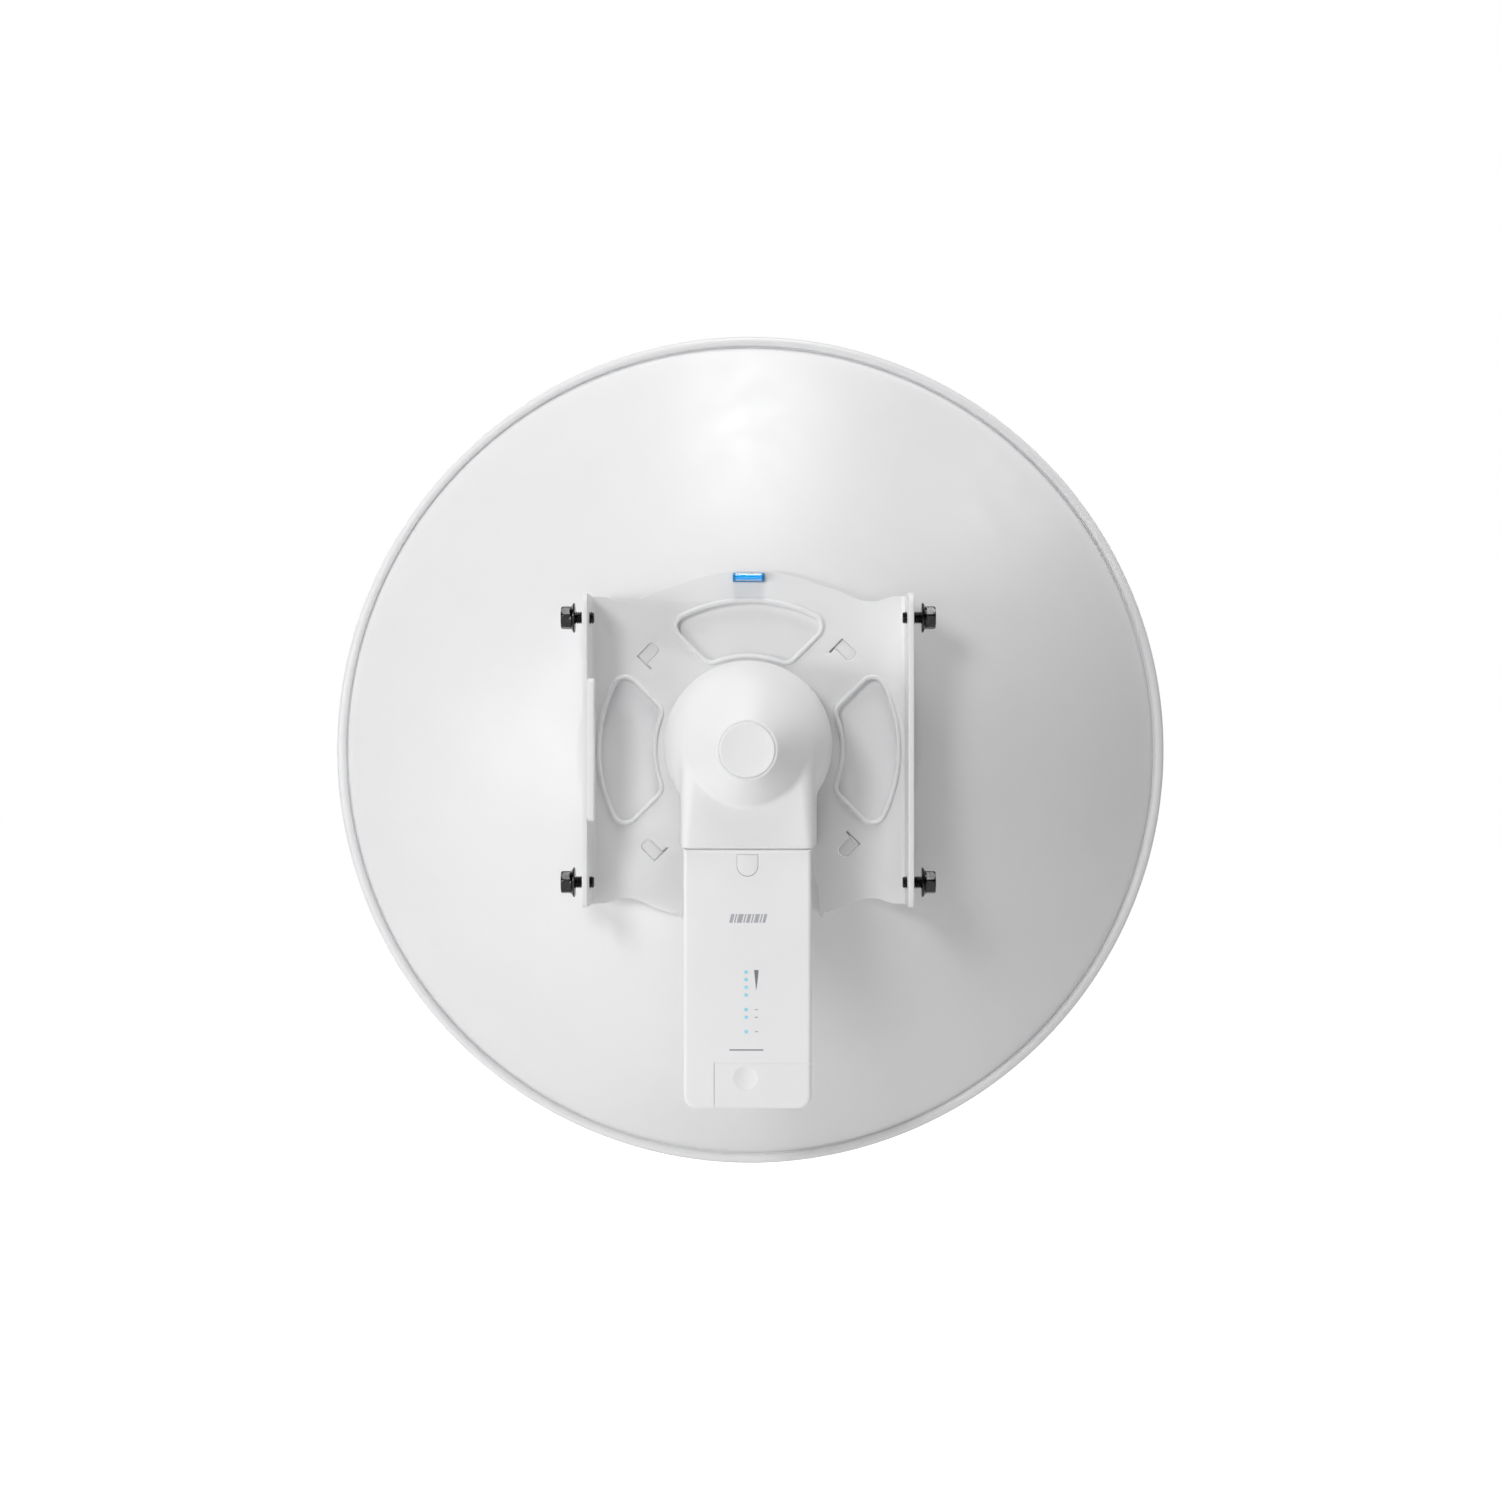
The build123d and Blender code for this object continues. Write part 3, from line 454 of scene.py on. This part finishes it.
# --------------------------------------------------------------------- camera
cam_d = bpy.data.cameras.new("camera")
cam_d.lens = 73.2
cam_d.sensor_width = 36.0
cam = bpy.data.objects.new("camera", cam_d)
scene.collection.objects.link(cam)
cam.location = (0.012, -1.466, 0.0)
aim = Vector((0.0, 0.0843, 0.0)) - cam.location
cam.rotation_euler = aim.to_track_quat("-Z", "Y").to_euler()
cam_d.clip_start = 0.01
cam_d.clip_end = 50.0
scene.camera = cam

# ----------------------------------------------------------------------- dish
DR, DT, SEAT, F, BR = 210.0, 1.2, 82.0, 105.0, 2.5


def yb(r):
    return (r * r - SEAT * SEAT) / (4 * F)


c0 = (DR - BR, yb(205.2) + 0.4)
prof = [(22.6, DT)]
prof += [(r, DT) for r in (30, 45, 60, 72, 79.0)]
for k in range(5):
    r = 79.8 + k * 0.95
    t = k / 4
    prof.append((r, DT + 0.5 * (max(0, r - 81.3)) ** 2 * 0.10 + 0.0))
R0, R1 = 84.6, 205.4
nr = 44
for i in range(nr + 1):
    r = R0 + (R1 - R0) * i / nr
    s = r / (2 * F)
    prof.append((r, yb(r) + DT * math.hypot(1, s)))
# rolled rim, from the bowl's front face round to the groove behind it
for a in np.linspace(134.0, -150.0, 28):
    prof.append((c0[0] + BR * math.cos(math.radians(a)), c0[1] + BR * math.sin(math.radians(a))))
prof += [(205.32, 83.75), (205.3, 84.2), (205.15, 84.8), (204.85, 84.9), (204.45, 84.45), (204.2, 83.8), (204.05, 83.45)]
for i in range(nr + 1):
    r = 203.7 + (84.8 - 203.7) * i / nr
    prof.append((r, yb(r)))
prof += [(83.6, 0.55), (82.6, 0.22), (81.6, 0.04), (80.4, 0.0), (72, 0), (60, 0), (45, 0), (30, 0), (22.6, 0)]
bm = lathe(prof, 288)
dish = loose("dish_shell", bm)


def d_outline(grow=0.0, n=6, x0=-5.2):
    x0, x1, h, r = x0 - grow, 4.3 + grow, 2.85 + grow, 2.4
    return [(x0, -h)] + arc(x1 - r, -h + r, r, -90, 0, n) + arc(x1 - r, h - r, r, 0, 90, n) + [(x0, h)]


def slit_outline(n=6):
    """The tab's recess together with the longer relief slit across its square end."""
    x1, h, r = 4.3 + 0.18, 2.85 + 0.18, 2.4
    sx0, sx1, z0, z1, q = -6.05, -5.15, -6.1, 2.9, 0.43
    return ([(sx1, -h)] + arc(x1 - r, -h + r, r, -90, 0, n) + arc(x1 - r, h - r, r, 0, 90, n) + [(sx0 + q, h)]
            + arc(sx0 + q, h - q, q, 90, 180, 4)[1:] + arc(sx0 + q, z0 + q, q, 180, 270, 4) + arc(sx1 - q, z0 + q, q, 270, 360, 4))


def placed(pts, ang, rad=66.75):
    a = math.radians(ang)
    rot = math.radians(ang - 90)
    return [(rad * math.cos(a) + x * math.cos(rot) - z * math.sin(rot), rad * math.sin(a) + x * math.sin(rot) + z * math.cos(rot))
            for x, z in pts]


cutters = [loose("c", plate_mesh([placed(d_outline(0.15), a)], -1.0, 3.0, bevel=0.0001, res=0)) for a in (45, 135, 225, 315)]
for c_ in cutters:
    b_ = bmesh.new(); b_.from_mesh(c_.data); weld(b_, 2e-6); b_.to_mesh(c_.data); b_.free()
cut(dish, cutters)
me = dish.data
me.shade_smooth()
me.set_sharp_from_angle(angle=math.radians(40))
put(dish, M["dish_coat"])
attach(dish, "dish_assembly")
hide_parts("dish_reflector")

# -------------------------------------------------------------------- bracket
PT, PR, FX, FD, FZ = 2.5, 86.2, 77.6, 42.0, 73.8
WI, WO, HG = 45.0, 72.0, 15.3
DIP = [(69.5, 0.0), (65.5, -1.2), (61.4, -2.5), (55.5, -2.3), (50.0, -0.4), (44.0, 2.3), (36.0, 4.9), (25.0, 8.7), (13.0, 11.6)]
up = [(x, FZ + dz) for x, dz in DIP]
top = spline2([(-x, z) for x, z in up] + [(0, PR)] + up[::-1], 10)
XE = FX - 4.5 + 0.3
edge_top = [(-XE, FZ)] + top + [(XE, FZ)]
# lower edge with two open notches and a tongue between them
low_x = np.array([x for x, _ in top])
low_z = np.array([-z for _, z in top])


def low_at(x):
    return float(np.interp(x, low_x, low_z))


half = [(x, -z) for x, z in top[::-1] if x > 37.4]
half += [(37.1, low_at(37.1)), (36.2, low_at(36.6) + 0.5), (35.2, -80.9), (34.3, -80.0), (33.8, -78.8)]
half += [(33.7, -77.5), (33.7, -70.6), (33.55, -68.6), (33.2, -66.6)]
half += [(29.86, -51.2), (29.5, -49.8), (28.9, -48.7), (27.9, -47.9), (26.6, -47.6), (17.0, -47.6), (15.5, -48.0), (14.4, -49.1), (14.0, -50.6)]
half += [(14.0, low_at(14.0) + 0.8), (13.7, low_at(13.7) + 0.25), (13.0, low_at(13.0))]
half += [(x, low_at(x)) for x in (10.0, 7.0, 4.0, 0.0)]
outer = edge_top + [(XE, -FZ)] + half + [(-x + (2.5 if 30 < x < 37 and z < -47 else 0), z) for x, z in half[:-1][::-1]] + [(-XE, -FZ)]


def window(ro, ri, d, rc, n=10):
    """Closed outline of the window that points up, corners rounded by rc."""
    q = math.sqrt(0.5)
    uo = math.sqrt((ro - rc) ** 2 - (d + rc) ** 2)
    ui = math.sqrt((ri + rc) ** 2 - (d + rc) ** 2)

    def xz(u, v):
        return ((u - v) * q, (u + v) * q)
    co, ci = xz(uo, d + rc), xz(ui, d + rc)
    ang_o = math.degrees(math.atan2(co[1], co[0]))
    ang_i = math.degrees(math.atan2(ci[1], ci[0]))
    right = arc(ci[0], ci[1], rc, ang_i - 180, -45, n)[::1] if False else None
    # the straight side faces the diagonal, whose outward direction is -45 degrees
    inner_corner = arc(ci[0], ci[1], rc, ang_i - 180 if ang_i - 180 > -225 else ang_i + 180, -45, n)
    outer_corner = arc(co[0], co[1], rc, -45, ang_o, n)
    half = inner_corner + outer_corner
    big = arc(0, 0, ro, ang_o, 90, 14)[1:]
    right_half = half + big
    small = arc(0, 0, ri, 90, ang_i, 14)[:-1]
    right_half = small + right_half
    left = [(-x, z) for x, z in right_half[::-1]]
    return right_half + left[1:-1]


def turned(pts, deg):
    a = math.radians(deg)
    return [(x * math.cos(a) - z * math.sin(a), x * math.sin(a) + z * math.cos(a)) for x, z in pts]


holes, beads = [], []
for k in (0, 1, 3):
    ri = WI
    holes.append(turned(window(WO - 0.9, ri + 0.9, HG + 0.9, 5.1), 90 * k))
    beads.append(turned(window(WO - 0.05, ri + 0.05, HG + 0.05, 6.0), 90 * k))
tabs = [placed(slit_outline(), a) for a in (45, 135, 225, 315)]
earth = arc(0, -78.4, 2.1, 0, 360, 24)[:-1]
centre = arc(0, 0, 22.6, 0, 360, 72)[:-1]
bm = bmesh.new()
add_mesh(bm, plate_mesh([outer] + holes + tabs + [earth, centre], -PT, 0, bevel=0.35))
for pts in beads:
    b2 = tube([(x, -PT - 0.15, z) for x, z in pts], 1.22, sides=14, flat=1.2)
    m2 = bpy.data.meshes.new("t"); b2.to_mesh(m2); b2.free()
    add_mesh(bm, m2)
for a in (45, 135, 225, 315):
    add_mesh(bm, plate_mesh([placed(d_outline(0.0), a)], -PT + 1.1, 1.05, bevel=0.3))
for s in (-1, 1):
    y1 = -PT - 2.0 + 0.3
    side = [(y1, FZ), (y1, -FZ)] + arc(-FD + 6, -FZ + 6, 6, 270, 180, 10) + arc(-FD + 6, FZ - 6, 6, 180, 90, 10)
    bolts = [arc(-22.0, z, 3.06, 0, 360, 28)[:-1] for z in (-62.6, 62.6)]
    xa, xb = sorted((s * (FX - PT), s * FX))
    add_mesh(bm, plate_mesh([side] + bolts, xa, xb, plane="YZ", bevel=0.35))
    if s < 0:
        add_mesh(bm, plate_mesh([rrect(-FD, -FD + 9, -33.5, 33.5, 2.5)], -FX + PT - 0.5, -FX + PT + 3.3, plane="YZ", bevel=0.9, res=4))
    # bend between plate and flange: a quarter of a ring, carried from end to end
    cx_, cy_ = s * (FX - PT - 2.0), -PT - 2.0
    zs = [-FZ, -FZ + 0.12, -FZ + 0.35] + list(np.linspace(-FZ + 8, FZ - 8, 9)) + [FZ - 0.35, FZ - 0.12, FZ]
    ins = [0.35, 0.12, 0.0] + [0.0] * 9 + [0.0, 0.12, 0.35]
    rows = []
    for z, g in zip(zs, ins):
        ring = []
        for t in np.linspace(0, 90, 11):
            ring.append((cx_ + s * (4.5 - g) * math.cos(math.radians(t)), cy_ + (4.5 - g) * math.sin(math.radians(t)), z))
        for t in np.linspace(90, 0, 11):
            ring.append((cx_ + s * (2.0 + g) * math.cos(math.radians(t)), cy_ + (2.0 + g) * math.sin(math.radians(t)), z))
        rows.append([bm.verts.new([c * MM for c in p]) for p in ring])
    for a, b in zip(rows, rows[1:]):
        n_ = len(a)
        for k in range(n_):
            bm.faces.new((a[k], a[(k + 1) % n_], b[(k + 1) % n_], b[k]))
    for row in (rows[0], rows[-1]):
        for k in range(10):
            bm.faces.new((row[k], row[k + 1], row[20 - k], row[21 - k]))
weld(bm, 1.5e-6)
bracket = from_bm("bracket_sheet", bm, M["bracket_coat"], "dish_assembly", angle=50)
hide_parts("mount_bracket")

# --------------------------------------------------------------- clamp bolts
def thread_mesh(bm, x0, x1, r_out, pitch, s, yc, zc, segs=48):
    """Threaded shank along X from x0 to x1 (mm), as a surface that rises and falls along its helix."""
    depth = 0.6134 * pitch
    step = pitch / 12
    n = int(abs(x1 - x0) / step)
    rings = []
    for i in range(n + 1):
        x = x0 + (x1 - x0) * i / n
        ring = []
        for k in range(segs):
            t = 2 * math.pi * k / segs
            ph = ((abs(x) / pitch) - k / segs) % 1.0
            tri = abs(2 * ph - 1)
            h = min(max((tri - 0.12) / 0.72, 0), 1)
            fade = min(1.0, abs(x - x0) / 0.9)
            r = r_out - depth * (1 - h) * 1.0
            r = min(r, r_out - 0.75 * (1 - fade))
            ring.append(bm.verts.new((x * MM, (yc + r * math.cos(t)) * MM, (zc + r * math.sin(t)) * MM)))
        rings.append(ring)
    for a, b in zip(rings, rings[1:]):
        for k in range(segs):
            j = (k + 1) % segs
            bm.faces.new((a[k], a[j], b[j], b[k]))
    for ring in (rings[0], rings[-1]):
        bm.faces.new(ring)


def make_bolt(name, s, z):
    HX = 82.0
    bm = bmesh.new()
    y = -22.0
    thread_mesh(bm, s * (HX - 9.0), s * (HX + 0.6), 2.98, 1.0, s, y, z)
    # conical flange with a rolled edge
    pr = [(0, HX), (6.6, HX), (6.95, HX + 0.12), (7.1, HX + 0.42), (7.05, HX + 0.75), (6.75, HX + 1.0), (6.2, HX + 1.25), (5.5, HX + 1.75),
          (5.15, HX + 2.5), (0, HX + 2.5)]
    lathe([(r, s * a) for r, a in pr], 64, axis="X", centre=(0, y, z), closed=False, bm=bm)
    # hexagon with rounded corners, chamfered towards the top, dished end
    af, r_c = 5.0, 5.55
    nseg = 72
    levels = [(HX + 2.2, 0.0), (HX + 5.2, 0.0), (HX + 5.7, 0.05), (HX + 6.2, 0.28), (HX + 6.5, 0.62), (HX + 6.6, 1.0)]
    rings = []
    for x, inset in levels:
        ring = []
        for k in range(nseg):
            t = 2 * math.pi * k / nseg
            tt = (t + math.pi / 6) % (math.pi / 3) - math.pi / 6
            r = min(af / math.cos(tt), r_c)
            lim = r_c - inset * 0.75
            r = min(r, lim)
            ring.append(bm.verts.new((s * x * MM, (y + r * math.cos(t + 0.35)) * MM, (z + r * math.sin(t + 0.35)) * MM)))
        rings.append(ring)
    for r_in, x in ((3.9, HX + 6.6), (3.5, HX + 6.5), (3.2, HX + 6.15), (1.6, HX + 6.1)):
        rings.append([bm.verts.new((s * x * MM, (y + r_in * math.cos(2 * math.pi * k / nseg + 0.35)) * MM,
                                    (z + r_in * math.sin(2 * math.pi * k / nseg + 0.35)) * MM)) for k in range(nseg)])
    for a, b in zip(rings, rings[1:]):
        for k in range(nseg):
            j = (k + 1) % nseg
            bm.faces.new((a[k], a[j], b[j], b[k]))
    bm.faces.new(rings[0])
    bm.faces.new(rings[-1])
    o = from_bm(name + "_detail", bm, M["bolt_metal"], name, angle=28)
    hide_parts(name)
    return o


for lev, z in (("upper", 62.6), ("lower", -62.6)):
    for sd, s in (("left", -1), ("right", 1)):
        make_bolt(f"clamp_bolt_{lev}_{sd}", s, z)


# --------------------------------------------------------------- rear housing
def smin(a, b, k):
    h = np.clip(0.5 + 0.5 * (b - a) / k, 0, 1)
    return b * (1 - h) + a * h - k * h * (1 - h)


DOME = np.array([(-3.1, 39.9, 2.6), (-14.0, 39.9, 2.6), (-26.0, 39.7, 2.5), (-38.0, 38.8, 2.3), (-48.0, 36.8, 1.9), (-55.5, 34.2, 1.5),
                 (-61.5, 31.0, 1.1), (-66.5, 27.2, 0.8), (-72.5, 22.3, 0.4), (-78.0, 17.6, 0.2), (-82.5, 13.8, 0.0)])
dense = np.array(spline2([(a, b) for a, b, _ in DOME], 10))
dense_c = np.array(spline2([(a, c) for a, _, c in DOME], 10))
ORD = np.argsort(dense[:, 0])
DY, DRr, DC = dense[ORD, 0], dense[ORD, 1], dense_c[ORD, 1]


def sd_dome(P):
    y = P[:, 1]
    r = np.interp(y, DY, DRr)
    c = np.interp(y, DY, DC)
    rad = np.hypot(P[:, 0], P[:, 2] - c) - r
    slope = np.interp(y, DY, np.gradient(DRr, DY))
    rad = rad / np.sqrt(1 + slope ** 2)
    cap = -82.5 - y
    return np.maximum(rad, cap)


def sd_sleeve(P):
    x, y, z = np.abs(P[:, 0]), P[:, 1], P[:, 2]
    up_ = np.clip((z + 45.2) / 44.2, 0, 1)
    rb = 3.4 + 4.6 * up_
    back = -68.0 + 2.5 * up_
    f = (y + 68.0) / 64.9
    hw = 30.3 + 2.6 * np.clip(f, 0, 1.1)
    # rounded back corners
    dx = x - (hw - rb)
    dy = back + rb - y
    corner = np.where((dx > 0) & (dy > 0), np.hypot(np.maximum(dx, 0), np.maximum(dy, 0)) - rb, np.maximum(dx, dy) - rb)
    low = -45.28 - z
    e = 0.5
    a, b = corner + e, low + e
    d = np.where((a > 0) & (b > 0), np.hypot(np.maximum(a, 0), np.maximum(b, 0)) - e, np.maximum(a, b) - e)
    return np.maximum(d, z + 1.0)


def sd_house(P):
    return smin(sd_dome(P), sd_sleeve(P), 1.5)


def star(sd, centre, y_flat, nu, nv):
    """Skin of a star-shaped body, found by stepping out along rays from centre. Its front is closed flat at y_flat."""
    C = np.array(centre, float)
    dirs = []
    for i in range(1, nv):
        v = math.pi * i / nv
        for k in range(nu):
            u = 2 * math.pi * k / nu
            dirs.append((math.sin(v) * math.cos(u), -math.cos(v), math.sin(v) * math.sin(u)))
    dirs = np.array([(0, -1, 0)] + dirs + [(0, 1, 0)], float)
    lo_ = np.zeros(len(dirs))
    hi_ = np.full(len(dirs), 160.0)

    def f(t):
        Q = C + dirs * t[:, None]
        return np.maximum(sd(Q), Q[:, 1] - y_flat)
    for _ in range(26):
        mid = (lo_ + hi_) / 2
        inside = f(mid) < 0
        lo_ = np.where(inside, mid, lo_)
        hi_ = np.where(inside, hi_, mid)
    Q = C + dirs * lo_[:, None]
    bm = bmesh.new()
    V = [bm.verts.new(q * MM) for q in Q]
    for k in range(nu):
        j = (k + 1) % nu
        bm.faces.new((V[0], V[1 + k], V[1 + j]))
        for i in range(nv - 2):
            a, b = 1 + i * nu, 1 + (i + 1) * nu
            bm.faces.new((V[a + k], V[b + k], V[b + j], V[a + j]))
        a = 1 + (nv - 2) * nu
        bm.faces.new((V[a + k], V[-1], V[a + j]))
    return bm


bm = star(sd_house, (0, -33.0, -9.0), -3.1, 340, 240)
housing = loose("dome_and_sleeve", bm)
ch = bmesh.new()
add_mesh(ch, plate_mesh([rrect(-27.05, 27.05, -60, -22.0, 0.4)], -63.65, -36.35, bevel=0.2, res=1))
weld(ch)
inner_cut = loose("c", ch)
tip = loose("c", lathe([(0, -84.0), (12.85, -84.0), (12.85, -80.8), (0, -80.8)], 96, closed=False))
groove = loose("c", plate_mesh([rrect(-5.6, 5.6, -60, -37.0, 0.3)], -65.0, -63.2, bevel=0.05, res=1))
mw = bmesh.new()
add_mesh(mw, plate_mesh([arc(0, 0, 22.2, 0, 360, 72)[:-1]], -30.0, 0, bevel=0.1, res=1))
weld(mw)
for c_ in (groove,):
    b_ = bmesh.new(); b_.from_mesh(c_.data); weld(b_); b_.to_mesh(c_.data); b_.free()
cut(housing, [inner_cut, tip, groove, loose("c", mw)])
housing.data.shade_smooth()
housing.data.set_sharp_from_angle(angle=math.radians(42))
put(housing, M["housing_plastic"])
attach(housing, "dish_assembly")
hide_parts("rear_housing")

# shallow dished cap at the tip
cap_pts = [(0, -82.36), (4.0, -82.38), (8.0, -82.46), (10.6, -82.64), (11.6, -82.78), (12.2, -82.80), (12.6, -82.66), (12.78, -82.35),
           (12.8, -81.2), (0, -81.2)]
cap = from_bm("dome_cap_disc", lathe(cap_pts, 96, closed=False), M["cover_plastic"], "dish_assembly", angle=50)
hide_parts("dome_cap")

# ------------------------------------------------- printed marks on the radio
YM = -66.0


def flat_mark(name, outlines, mat, thick=0.03):
    """Thin printed shapes on the radio unit's back face."""
    bm_ = bmesh.new()
    for pts in outlines:
        a_ = [bm_.verts.new((x * MM, (YM - thick) * MM, z * MM)) for x, z in pts]
        b_ = [bm_.verts.new((x * MM, (YM + 0.01) * MM, z * MM)) for x, z in pts]
        bm_.faces.new(a_)
        bm_.faces.new(b_[::-1])
        n_ = len(pts)
        for k_ in range(n_):
            bm_.faces.new((a_[k_], a_[(k_ + 1) % n_], b_[(k_ + 1) % n_], b_[k_]))
    return from_bm(name, bm_, mat, "radio_unit", smooth=False)


def bar(x0, x1, z0, z1, lean=0.0):
    return [(x0, z0), (x1, z0), (x1 + lean, z1), (x0 + lean, z1)]


# a plain row of leaning bars where the printed mark sits
cols = []
x_ = -8.4
for k, wd in enumerate((1.5, 0.7, 2.3, 0.7, 1.6, 0.7, 2.0, 0.7, 1.4)):
    cols.append(bar(x_, x_ + wd, -79.3, -75.3, 1.0))
    x_ += wd + 0.62
flat_mark("printed_bars", cols, INK_PALE)
flat_mark("printed_wedge", [[(3.05, -101.0), (5.1, -101.0), (4.75, -105.0), (4.35, -108.2), (3.95, -110.6), (3.75, -108.2), (3.4, -104.5)]], INK)
flat_mark("printed_ticks", [bar(3.4, 4.8, z - 0.28, z + 0.28) for z in (-119.2, -122.7, -129.3)], INK_PALE)
flat_mark("printed_line", [bar(-8.3, 7.3, -138.0, -137.4)], INK)

# LED lenses: shallow domes over the light pipes
bm = bmesh.new()
for z in (-102.0, -105.4, -109.0, -112.5, -119.2, -122.7, -129.3):
    lathe([(0, -66.02), (0.3, -66.01), (0.55, -65.96), (0.72, -65.88), (0.80, -65.72), (0.80, -60.0), (0, -60.0)], 32,
          centre=(-0.6, 0, z), closed=False, bm=bm)
lenses = from_bm("led_lenses", bm, M["light_guide"], "radio_unit", angle=60)

# latch face and the port cover's upper lip, close to their openings
LZ0, LZ1, LHW = -57.8, -48.2, 4.6


def tab_face(g):
    c_, r_ = LZ0 + 4.7, LHW + g
    return [(LHW + g, LZ1 + g)] + [(-LHW - g, LZ1 + g)] + arc(0, c_, r_, 180, 360, 28)


bm = bmesh.new()
add_mesh(bm, plate_mesh([tab_face(0.17)], -66.0, -63.0, bevel=0.25, res=3))
add_mesh(bm, plate_mesh([rrect(-4.5, 4.5, -49.2, -38.0, 0.5, 4)], -63.9, -62.2, bevel=0.12, res=2))
add_mesh(bm, plate_mesh([rrect(-3.5, 3.5, -40.6, -38.05, 0.4, 4)], -64.6, -63.3, bevel=0.25, res=2))
weld(bm)
latch = from_bm("latch_face", bm, M["radio_plastic"], "release_latch", angle=60)
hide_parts("release_latch")
bm = bmesh.new()
add_mesh(bm, plate_mesh([rrect(-15.15, 29.2, -144.3, -143.84, 0.06, 3)], -65.99, -64.4, bevel=0.05, res=2))
weld(bm)
from_bm("cover_lip", bm, M["cover_plastic"], "port_cover", angle=60)

# air bubble at the top of the level's liquid
bm = bmesh.new()
bmesh.ops.create_icosphere(bm, subdivisions=4, radius=1.0)
for v in bm.verts:
    v.co = Vector((v.co.x * 2.3 * MM, (v.co.y * 0.62 - 4.65) * MM, (v.co.z * 0.5 + 82.9 + 0.84) * MM))
bubble = from_bm("level_bubble", bm, M["level_clear"], "dish_assembly", angle=0)
bubble.data.shade_smooth()

# ------------------------------------------------------------------- lighting
world = bpy.data.worlds.new("studio")
scene.world = world
world.use_nodes = True
wt = world.node_tree
wt.nodes.clear()
out = wt.nodes.new("ShaderNodeOutputWorld")
lp = wt.nodes.new("ShaderNodeLightPath")
b1 = wt.nodes.new("ShaderNodeBackground")
b1.inputs["Color"].default_value = (1, 1, 1, 1)
b1.inputs["Strength"].default_value = 0.0
b2 = wt.nodes.new("ShaderNodeBackground")
b2.inputs["Color"].default_value = (1, 1, 1, 1)
b2.inputs["Strength"].default_value = 1.0
mixs = wt.nodes.new("ShaderNodeMixShader")
wt.links.new(lp.outputs["Is Camera Ray"], mixs.inputs["Fac"])
wt.links.new(b1.outputs[0], mixs.inputs[1])
wt.links.new(b2.outputs[0], mixs.inputs[2])
wt.links.new(mixs.outputs[0], out.inputs["Surface"])


def area(name, loc, target, size, power, shape="DISK", color=(1, 1, 1)):
    d = bpy.data.lights.new(name, "AREA")
    d.shape = shape
    d.size = size
    d.energy = power
    d.color = color
    o = bpy.data.objects.new(name, d)
    scene.collection.objects.link(o)
    o.location = loc
    o.rotation_euler = (Vector(target) - Vector(loc)).to_track_quat("-Z", "Y").to_euler()
    return o


# soft studio lights round the camera side: (name, angle from the camera's axis, angle round it, size, power)
for nm, pol, az, size, power in (
        ("key_upper_left", 30, 135, 0.45, 10.0), ("top_front", 70, 90, 0.70, 8.7), ("left_front", 50, 180, 0.50, 7.0),
        ("top", 88, 90, 0.70, 10.1), ("top_right", 88, 45, 0.70, 6.0), ("left", 70, 180, 0.70, 3.6),
        ("camera_fill", 0, 0, 1.00, 1.2), ("right_front", 70, 45, 0.70, 1.2), ("left_fill", 30, 180, 0.70, 1.1),
        ("behind_left", 115, 135, 1.00, 1.5), ("front_left", 135, 140, 1.00, 9.0),
        ("front_right", 140, 40, 1.00, 6.0)):
    p_, a_ = math.radians(pol), math.radians(az)
    d_ = Vector((math.sin(p_) * math.cos(a_), -math.cos(p_), math.sin(p_) * math.sin(a_)))
    area(nm, d_ * 1.9, (0, 0, 0), size, power)

# floor
fm, fnt, fb, fco = new_mat("floor_pale")
fn = noise(fnt, fco, 3.0, 3.0, 0.5)
fnt.links.new(mixed(fnt, ranged(fnt, fn.outputs["Fac"], 0, 1), (0.90, 0.90, 0.90), (0.92, 0.92, 0.92)), fb.inputs["Base Color"])
fb.inputs["Roughness"].default_value = 0.9
fb.inputs["Emission Color"].default_value = (1, 1, 1, 1)
flp = fnt.nodes.new("ShaderNodeLightPath")
fmul = fnt.nodes.new("ShaderNodeMath")
fmul.operation = "MULTIPLY"
fmul.inputs[1].default_value = 1.0
fnt.links.new(flp.outputs["Is Camera Ray"], fmul.inputs[0])
fnt.links.new(fmul.outputs[0], fb.inputs["Emission Strength"])
bm = bmesh.new()
S = 12.0
vs = [bm.verts.new(p) for p in ((-S, -S, -0.32), (S, -S, -0.32), (S, S, -0.32), (-S, S, -0.32))]
bm.faces.new(vs)
me = bpy.data.meshes.new("floor")
bm.to_mesh(me)
bm.free()
me.materials.append(fm)
floor = bpy.data.objects.new("floor", me)
scene.collection.objects.link(floor)
